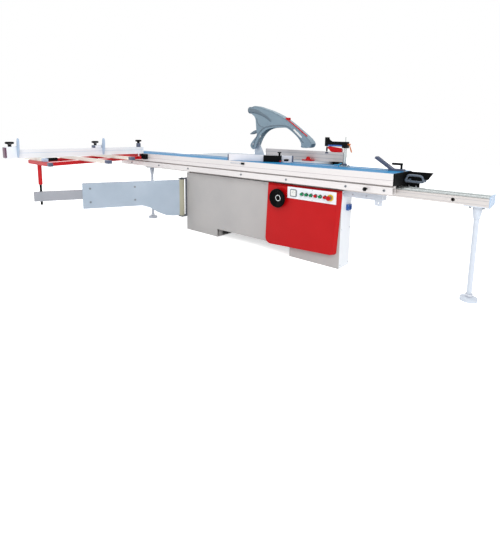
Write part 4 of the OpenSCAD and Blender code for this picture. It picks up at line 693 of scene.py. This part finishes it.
# wing knobs: two lobes drawn far out, wide enough to take in the round knob below
wing = {"d": 0.074, "h": 0.024, "stem": 0.0255, "lobes": 2, "wave": 0.18}
wingKnob = lambda at, stem: knob(at, upward, wing["d"], wing["h"], stem, wing["lobes"], wing["wave"])
knobBase = [(0, 0), (0.024, 0), (0.0275, 0.003), (0.0275, 0.044), (0.0255, 0.0475), (0, 0.0475)]
putTurned("fenceKnobBase", knobBase, (*fence["pin"], fence["high"]), upward, 40, "slateNylon", "cross")
putPiece("fenceKnob", wingKnob((*fence["pin"], fence["high"] + 0.047), 0.02), "blackNylon", "cross")
for name, y, z, body in (("nearKnob", fence["saddle"] + 0.025, 0.0314, "near"),
                         ("farKnob", fence["far"] - 0.05, 0.031, "cross_ext")):
    putPiece(name, wingKnob((fence["pin"][0], y, fence["high"] + z), wing["stem"]), "blackNylon", body)
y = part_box("fence_extension")[0][1]
(x0, z0), (x1, z1) = fence["end"]
putPiece("farBlockEnd", block((x0, y - 0.004, z0), (x1, y + 0.01, z1), 0.003, 1), "plumPlastic", "cross_ext")
finger = [*halfRim(*fence["boss"], fence["bossR"]), (-1.766, 0.9662), (-1.7615, 0.962), (-1.7615, 0.8885),
          (-1.738, 0.8885), (-1.72, 0.93), (-1.709, 0.985), (-1.706, 1.04), (-1.712, 1.07), (-1.732, 1.0835),
          (-1.75, 1.075), (-1.761, 1.045), (-1.765, 1.01), (-1.776, 0.9992)]
finger = softened(finger, 2, closed=True)
fingerCap = [(0, 0), (0.0105, 0), (0.0105, 0.003), (0.007, 0.005), (0, 0.005)]
for name, node, body, carrier, y in (("nearFinger", "flip_near", "near_finger", "near", -1.035),
                                     ("farFinger", "flip_far", "far_finger", "cross_ext", -1.94)):
    putPiece(name, pushed(finger, 1, y + 0.0005, y + 0.0099), "capPlastic", body, bevel=0.0015, over=[node])
    hub = (fence["boss"][0], y + 0.0101, fence["boss"][1])
    putTurned(name + "Cap", fingerCap, hub, backward, 24, "blackNylon", carrier)
low, high = fence["padZ"]
saddlePads = [block((fence["x"] - 0.0085, y, low), (right + 0.0085, y + 0.008, high), 0.002, 1)
              for y in (fence["saddle"] + pad for pad in fence["pads"])]
putPiece("saddlePads", saddlePads, "slateNylon", "near")
print("crosscut fence done")

# mitre fence: end caps, ruler, clamp knob, and the stop's knob and pointer
mitre = {"at": (0.288, -0.181, 0.88), "turn": math.radians(207.6), "caps": (-0.064, 0.606), "capL": 0.014,
         "face": -0.0175, "w": 0.03, "h": 0.065, "stop": 0.072, "pointer": (0.0525, 0.066)}
onMitre = lambda shape: moved(shape, mitre["at"], mitre["turn"])
face, proud = mitre["face"], 0.0008
endCaps = [block((x, face - mitre["w"] - proud, 0.0012),
                 (x + mitre["capL"], face + proud, mitre["h"] + proud), 0.003, 0) for x in mitre["caps"]]
putPiece("mitreEndCaps", onMitre(join(*endCaps)), "slateNylon", "mitre")
ruler = ticks((0.01, face - 0.006, mitre["h"]), 0.01, 58, -0.008, 0.0012, 0)
putPiece("mitreRuler", onMitre(ruler), "inkGrey", "mitre")
putPiece("mitreKnob", onMitre(knob((0, -face, 0.0102), upward, 0.052, 0.0225, 0.0012)), "blackNylon", "mitre")
stopKnob = knob((mitre["stop"], face + 0.0202, mitre["h"]), upward, 0.041, 0.0102, 0.026)
putPiece("mitreStopKnob", onMitre(stopKnob), "blackNylon", "mitre_slide")
x0, x1 = mitre["pointer"]
pointer = block((x0, face + 0.0385, 0.003), (x1, face + 0.0435, 0.016), 0.0012)
putPiece("mitrePointer", onMitre(pointer), "redPlastic", "mitre_slide")

# hold-down clamp: squeeze grip, tapered lever, sleeve and pad, and the foot's lever and bolts
hold = {"x": 0.924, "y": -0.181, "pivot": (0.767, 1.0446), "pivotR": 0.0127, "gripHalf": 0.0148,
        "stripHalf": 0.0156, "stripX": (0.756, 0.9), "stripZ": (1.0585, 1.072), "webHalf": 0.01,
        "padX": 0.739, "boltIn": 0.025,
        "leverX": (0.9474, 0.9594), "leverZ": 1.08, "leverTurn": math.radians(20), "leverL": 0.0748,
        "web": [(0.7543, 1.1015), (0.79, 1.1015), (0.764, 1.118), (0.7543, 1.138)],
        "footLever": [(0.835, -0.215, 0.892), (0.88, -0.203, 0.896), (0.905, -0.206, 0.912)]}
x, y, d = hold["x"], hold["y"], hold["boltIn"]
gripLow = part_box("clamp_grip")[0][2]
grips = [*halfRim(*hold["pivot"], hold["pivotR"]), [0.782, 1.013], [0.8, gripLow + 0.001], [0.835, gripLow],
         [0.85, gripLow], [0.875, gripLow], [0.8915, gripLow + 0.001], [0.8935, 1.012], [0.8935, 1.0435],
         [0.85, 1.0485], [0.81, 1.053]]
squeeze = pushed(softened(grips, 2, closed=True), 1, y - hold["gripHalf"], y + hold["gripHalf"])
putPiece("squeezeGrip", squeeze, "redPlastic", "hold_grip", bevel=0.003, over=["clamp_grip"])
strip = zip(hold["stripX"], (y - hold["stripHalf"], y + hold["stripHalf"]), hold["stripZ"])
putPiece("armBlueStrip", block(*strip, 0.002, 0), "bluePlastic", "hold_arm")
hubX, leverX = hold["leverX"]
downLever = [math.sin(hold["leverTurn"]), 0, -math.cos(hold["leverTurn"])]
leverLine = np.array([leverX, y, hold["leverZ"]]) + np.outer(np.linspace(0, hold["leverL"], 14), downLever)
taper = np.interp(np.linspace(0, 1, 14), [0, 0.2, 0.8, 1], [0.0046, 0.0042, 0.0058, 0.004])
leverHub = turned([(0, 0), (0.006, 0), (0.006, 0.022), (0.0045, 0.0238), (0, 0.0238)],
                  (hubX, y, hold["leverZ"]), endward, 24)
putPiece("clampLever", [leverHub, tube(leverLine, taper)], "orangePlastic", "hold_lever",
         over=["clamp_lever"])
sleeve = [(0.0041, 0), (0.0075, 0.001), (0.0075, 0.034), (0.0041, 0.036)]
putTurned("padSleeve", sleeve, (hold["padX"], y, 1.014), upward, 24, "blackNylon", "hold_arm")
sole = [(0, 0), (0.0148, 0), (0.0155, 0.002), (0.0155, 0.009), (0.013, 0.0125), (0.0041, 0.0128)]
putTurned("padSole", sole, (hold["padX"], y, 0.9897), upward, 32, "slateNylon", "hold_arm")
web = pushed(hold["web"], 1, y - hold["webHalf"], y + hold["webHalf"])
putPiece("armWeb", web, "blackNylon", "hold_arm", bevel=0.002)
bossAt = (*hold["footLever"][1][:2], 0.8805)
leverBoss = turned([(0.0085, 0), (0.0085, 0.016), (0.006, 0.022), (0, 0.022)], bossAt, upward, 24)
putPiece("clampFootLever", [leverBoss, tube(hold["footLever"], 0.0055)], "cyanPlastic", "hold_post")
putScrews("clampFootBolts", product((x - d, x + d), (y - d, y + d), [0.894]), upward, (0.0055, 0.004),
          "blackNylon", "hold_post")
collar = [(0.0143, 0), (0.0205, 0.001), (0.0205, 0.014), (0.0143, 0.016)]
putTurned("clampCollar", collar, (x, y, 0.8942), upward, 32, "slateNylon", "hold_post")

# edging shoe: ribbed plate with a facing under it, and a tee-bar lever
shoe = {"turn": math.radians(33), "foot": (1.36, -0.181, 0.888), "ribs": (-0.02, 0, 0.02),
        "ribRun": (0.045, 0.168), "ribUp": 0.0085, "rib": 0.0022,
        "facing": ((0.01, 0.0002), (0.1745, 0.0002), (0.1745, 0.0115), (0.016, 0.0115)),
        "facingY": (-0.2095, -0.1525), "stem": (1.426, -0.181, 0.8945),
        "bar": ((1.347, -0.19, 0.926), (1.4365, -0.172, 0.945))}
plateDir = np.array([-math.cos(shoe["turn"]), 0, math.sin(shoe["turn"])])
plateUp = np.array([math.sin(shoe["turn"]), 0, math.cos(shoe["turn"])])
for n, y in enumerate(shoe["ribs"]):
    run = shoe["foot"] + np.outer(np.linspace(*shoe["ribRun"], 8), plateDir) + plateUp * shoe["ribUp"]
    putPiece(f"shoeRib{n + 1}", tube(run + [0, y, 0], shoe["rib"], 8), "slateNylon", "shoe")
facing = np.array([shoe["foot"] + along * plateDir - under * plateUp for along, under in shoe["facing"]])
putPiece("shoeFacing", pushed(facing[:, [0, 2]], 1, *shoe["facingY"]), "slateNylon", "shoe", bevel=0.002)
shoeStem = turned([(0.0052, 0), (0.0092, 0.001), (0.0088, 0.034), (0.0052, 0.036)], shoe["stem"], upward, 24)
putPiece("shoeLeverGrip", [block(*shoe["bar"], 0.007, 0), shoeStem], "blackNylon", "shoe_turn")
print("clamps done")

# rip fence: caps, groove lines, carrier lever and the push block
rip = {"x": (-0.312, 0.688), "y": 0.245, "w": 0.05, "low": 0.885, "high": 0.985, "lines": (0.915, 0.955),
       "caps": (-0.318, 0.686), "capL": 0.008, "proud": 0.0006,
       "lever": [[0, 0, 0.011], [0.03, -0.005, 0.018], [0.07, -0.012, 0.03]]}
near, far, proud = rip["y"], rip["y"] + rip["w"], rip["proud"]
ripCaps = [block((x, near - proud, rip["low"]), (x + rip["capL"], far + proud, rip["high"] + proud), 0.003, 0)
           for x in rip["caps"]]
putPiece("ripCaps", ripCaps, "slateNylon", "rip")
left, right = rip["x"]
sides = ((near - 0.0003, near + 0.0002), (far - 0.0002, far + 0.0003))
ripLines = [pushed(oblong(*side, z - 0.002, z + 0.002), 0, left + 0.003, right - 0.003)
            for z, side in product(rip["lines"], sides)]
putPiece("ripLines", ripLines, "paintedSteel", "rip")
lo, hi, mid = boxOf("rip_carrier")
leverAt = np.array([mid[0], lo[1] + 0.045, hi[2]])
ripLever = [turned([(0.011, 0), (0.011, 0.012), (0.008, 0.016), (0, 0.016)], leverAt, upward, 24),
            tube(leverAt + np.array(rip["lever"]), [0.006, 0.0055, 0.007])]
putPiece("ripLever", ripLever, "blackNylon", "rip")
spots = product((lo[0] + 0.014, hi[0] - 0.014), (lo[1] + 0.09, hi[1] - 0.014), [hi[2]])
putScrews("carrierBolts", spots, upward, (0.006, 0.005), "zincSteel", "rip")
lo, hi, mid = boxOf("push_block")
crown = [(0, 0.01), (0.03, 0.01), (0.0285, 0.016), (0.022, 0.024), (0.0185, 0.032), (0.019, 0.038),
         (0.0165, 0.0436), (0.01, 0.045), (0, 0.045)]
hat = [block(lo + Vector((0, 0, 0.0002)), (hi[0], hi[1], lo[2] + 0.012), 0.005),
       turned(crown, (mid[0], mid[1], lo[2]), upward, 48)]
putPiece("pushBlock", hat, "redPlastic", "push", over=["push_block"])
print("rip fence done")

# cabinet: panel screws, louvres, inlet rim and lid, leg nuts, bolts and feet, and small heads
cabinet = {"front": -0.38, "right": 1.015, "louvreX": (-0.42, -0.14), "louvreZ": np.arange(0.44, 0.66, 0.024),
           "screws": ((-0.985, 0.03), (-0.985, 0.665), (-0.4, 0.12), (-0.4, 0.665), (0.175, 0.12),
                      (0.175, 0.665)),
           "louvre": [(0.38, 0.0), (0.3868, 0.002), (0.3868, 0.004), (0.38, 0.014)]}
putScrews("frontScrews", [(x, cabinet["front"], z) for x, z in cabinet["screws"]], forward, (0.0055, 0.003))
putScrews("sideScrews", product([cabinet["right"]], (-0.355, -0.21), (0.03, 0.35, 0.665)), endward,
          (0.0045, 0.0025))
vents = [pushed(np.array(cabinet["louvre"]) + [0, z], 0, *cabinet["louvreX"]) for z in cabinet["louvreZ"]]
putPiece("rearLouvres", vents, "powderCoatGrey", "base", bevel=0.0006)
lo, hi, mid = boxOf("power_inlet")
mouth = np.array([hi[0], mid[1], mid[2]])
mouthRim = [(0.0172, -0.004), (0.0172, 0.004), (0.019, 0.006), (0.0228, 0.006), (0.0228, 0.0002),
            (0.0205, -0.004), (0.0172, -0.004)]
putTurned("inletRim", mouthRim, mouth, endward, 40, "bluePlastic", "base")
lid = block(mouth + [-0.001, -0.021, 0.0215], mouth + [0.01, 0.021, 0.0245], 0.0012)
lidPin = tube([mouth + [0.001, -0.019, 0.0235], mouth + [0.001, 0.019, 0.0235]], 0.0025)
putPiece("inletLid", [lid, lidPin], "bluePlastic", "base")
putScrews("inletScrews", [mouth + at for at in product([0], (-0.028, 0.028), (-0.019, 0.019))], endward,
          (0.003, 0.002))
legs = {"x": (2.01, -1.828), "y": -0.3035, "nutZ": 0.03, "plateT": 0.008, "boltIn": 0.041,
        "boltY": (-0.338, -0.27)}
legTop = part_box("support_legs")[1][2] - legs["plateT"]
hangX = [x + a for x in legs["x"] for a in (-legs["boltIn"], legs["boltIn"])]
putScrews("legPlateBolts", product(hangX, legs["boltY"], [legTop]), (0, 0, -1), (0.0085, 0.008), "blackNylon",
          "base")
nut = [(0.0172, 0), (0.0265, 0.001), (0.0265, 0.02), (0.0172, 0.022)]
legAt = lambda z: [(x, legs["y"], z) for x in legs["x"]]
putPiece("legNuts", [turned(nut, at, upward, 6) for at in legAt(legs["nutZ"])], "zincSteel", "base")
legFoot = [(0.0552, 0.0004), (0.0574, 0.002), (0.0578, 0.01), (0.056, 0.019), (0.04, 0.0225), (0.0178, 0.03)]
putPiece("legFeet", [turned(legFoot, at, upward, 48) for at in legAt(0)], "powderCoatLeg", "base")
heads = {"beamCapScrews": (([2.09], (-0.335, -0.2), (0.706, 0.756)), endward, (0.005, 0.003)),
         "bracketHeads": (((1.1, 1.22), [-0.3525], [0.67]), forward, (0.007, 0.005)),
         "tablePlugs": (((-0.53, 0.515), [0.2], [0.8802]), upward, (0.004, 0.0003))}
for name, (rows, axis, size) in heads.items():
    putScrews(name, product(*rows), axis, size)
print("cabinet done")


# floor, soft light and camera
def seenDirectly(tree):
    # one for rays that reach the eye straight, mirrored or through something clear, nought for lighting rays
    path = addNode(tree, "ShaderNodeLightPath").outputs
    mirrored = maths(tree, "MAXIMUM", path["Is Glossy Ray"], path["Is Transmission Ray"])
    return maths(tree, "MAXIMUM", path["Is Camera Ray"], mirrored)


# pale floor: shaded near the saw so that its shadow stays, and plain white further out
floor = {"half": 14.0, "z": -0.0005, "colour": "#fbfbfb", "near": 2.2, "far": 4.6, "lift": 0.62}
floorMat = bpy.data.materials.new("paleFloor")
floorMat.use_nodes = True
tree = floorMat.node_tree
matt = addNode(tree, "ShaderNodeBsdfDiffuse", {"Color": hexLinear(floor["colour"])})
place = addNode(tree, "ShaderNodeTexCoord").outputs["Object"]
away = addNode(tree, "ShaderNodeVectorMath", {0: place}, operation="LENGTH").outputs["Value"]
reach = {"Value": away, "From Min": floor["near"], "From Max": floor["far"], "To Min": floor["lift"],
         "To Max": 1.0}
glow = addNode(tree, "ShaderNodeMapRange", reach)
shown = maths(tree, "MULTIPLY", glow.outputs["Result"], seenDirectly(tree))
lit = addNode(tree, "ShaderNodeEmission", {"Color": (1, 1, 1, 1), "Strength": shown})
both = addNode(tree, "ShaderNodeAddShader", {0: matt.outputs[0], 1: lit.outputs[0]})
tree.links.new(both.outputs[0], tree.nodes["Material Output"].inputs["Surface"])
s = floor["half"]
mesh = bpy.data.meshes.new("floor")
mesh.from_pydata([(*at, floor["z"]) for at in oblong(-s, s, -s, s)], [], [(0, 1, 2, 3)])
mesh.materials.append(floorMat)
ground = bpy.data.objects.new("floor", mesh)
scene.collection.objects.link(ground)

world = bpy.data.worlds.new("studio")
scene.world = world
world.use_nodes = True
tree = world.node_tree
soft = addNode(tree, "ShaderNodeBackground", {"Color": (0.95, 0.97, 1.0, 1), "Strength": 0.4})
white = addNode(tree, "ShaderNodeBackground", {"Color": (1, 1, 1, 1), "Strength": 1.0})
mixed = addNode(tree, "ShaderNodeMixShader", {0: seenDirectly(tree), 1: soft.outputs[0], 2: white.outputs[0]})
tree.links.new(mixed.outputs[0], tree.nodes["World Output"].inputs["Surface"])


def softLamp(name, at, aim, power, size):
    # square lamp at a place, turned to face a point
    lamp = bpy.data.lights.new(name, "AREA")
    lamp.energy, lamp.size = power, size
    piece = bpy.data.objects.new(name, lamp)
    scene.collection.objects.link(piece)
    piece.location = at
    piece.rotation_euler = (Vector(aim) - Vector(at)).to_track_quat("-Z", "Y").to_euler()


softLamp("keyLamp", (3.5, -5.0, 5.0), (0.0, -0.4, 0.6), 210, 4.0)
softLamp("fillLamp", (-4.5, -4.5, 4.0), (-0.6, -0.6, 0.6), 110, 4.0)
softLamp("sideLamp", (5.5, -1.5, 2.8), (0.0, -0.6, 0.6), 62, 3.0)
softLamp("topLamp", (0.0, 1.5, 5.5), (0.0, -0.2, 0.8), 90, 4.0)

view = {"at": (2.5164, -3.3165, 1.1766), "yaw": 40.788, "pitch": 8.346, "roll": 0.839, "lens": 25.02,
        "sensor": 36.0, "shift": -0.1582}
yaw, pitch, roll = (math.radians(view[k]) for k in ("yaw", "pitch", "roll"))
ahead = np.array([-math.sin(yaw) * math.cos(pitch), math.cos(yaw) * math.cos(pitch), -math.sin(pitch)])
right = np.cross(ahead, [0, 0, 1.0])
right /= np.linalg.norm(right)
up = np.cross(right, ahead)
tilted = math.cos(roll) * right + math.sin(roll) * up
up = math.cos(roll) * up - math.sin(roll) * right
cam = bpy.data.cameras.new("camera")
cam.lens, cam.sensor_width, cam.shift_y = view["lens"], view["sensor"], view["shift"]
camera = bpy.data.objects.new("camera", cam)
scene.collection.objects.link(camera)
turn = Matrix(np.stack([tilted, up, -ahead], 1).tolist()).to_4x4()
camera.matrix_world = Matrix.Translation(view["at"]) @ turn
scene.camera = camera
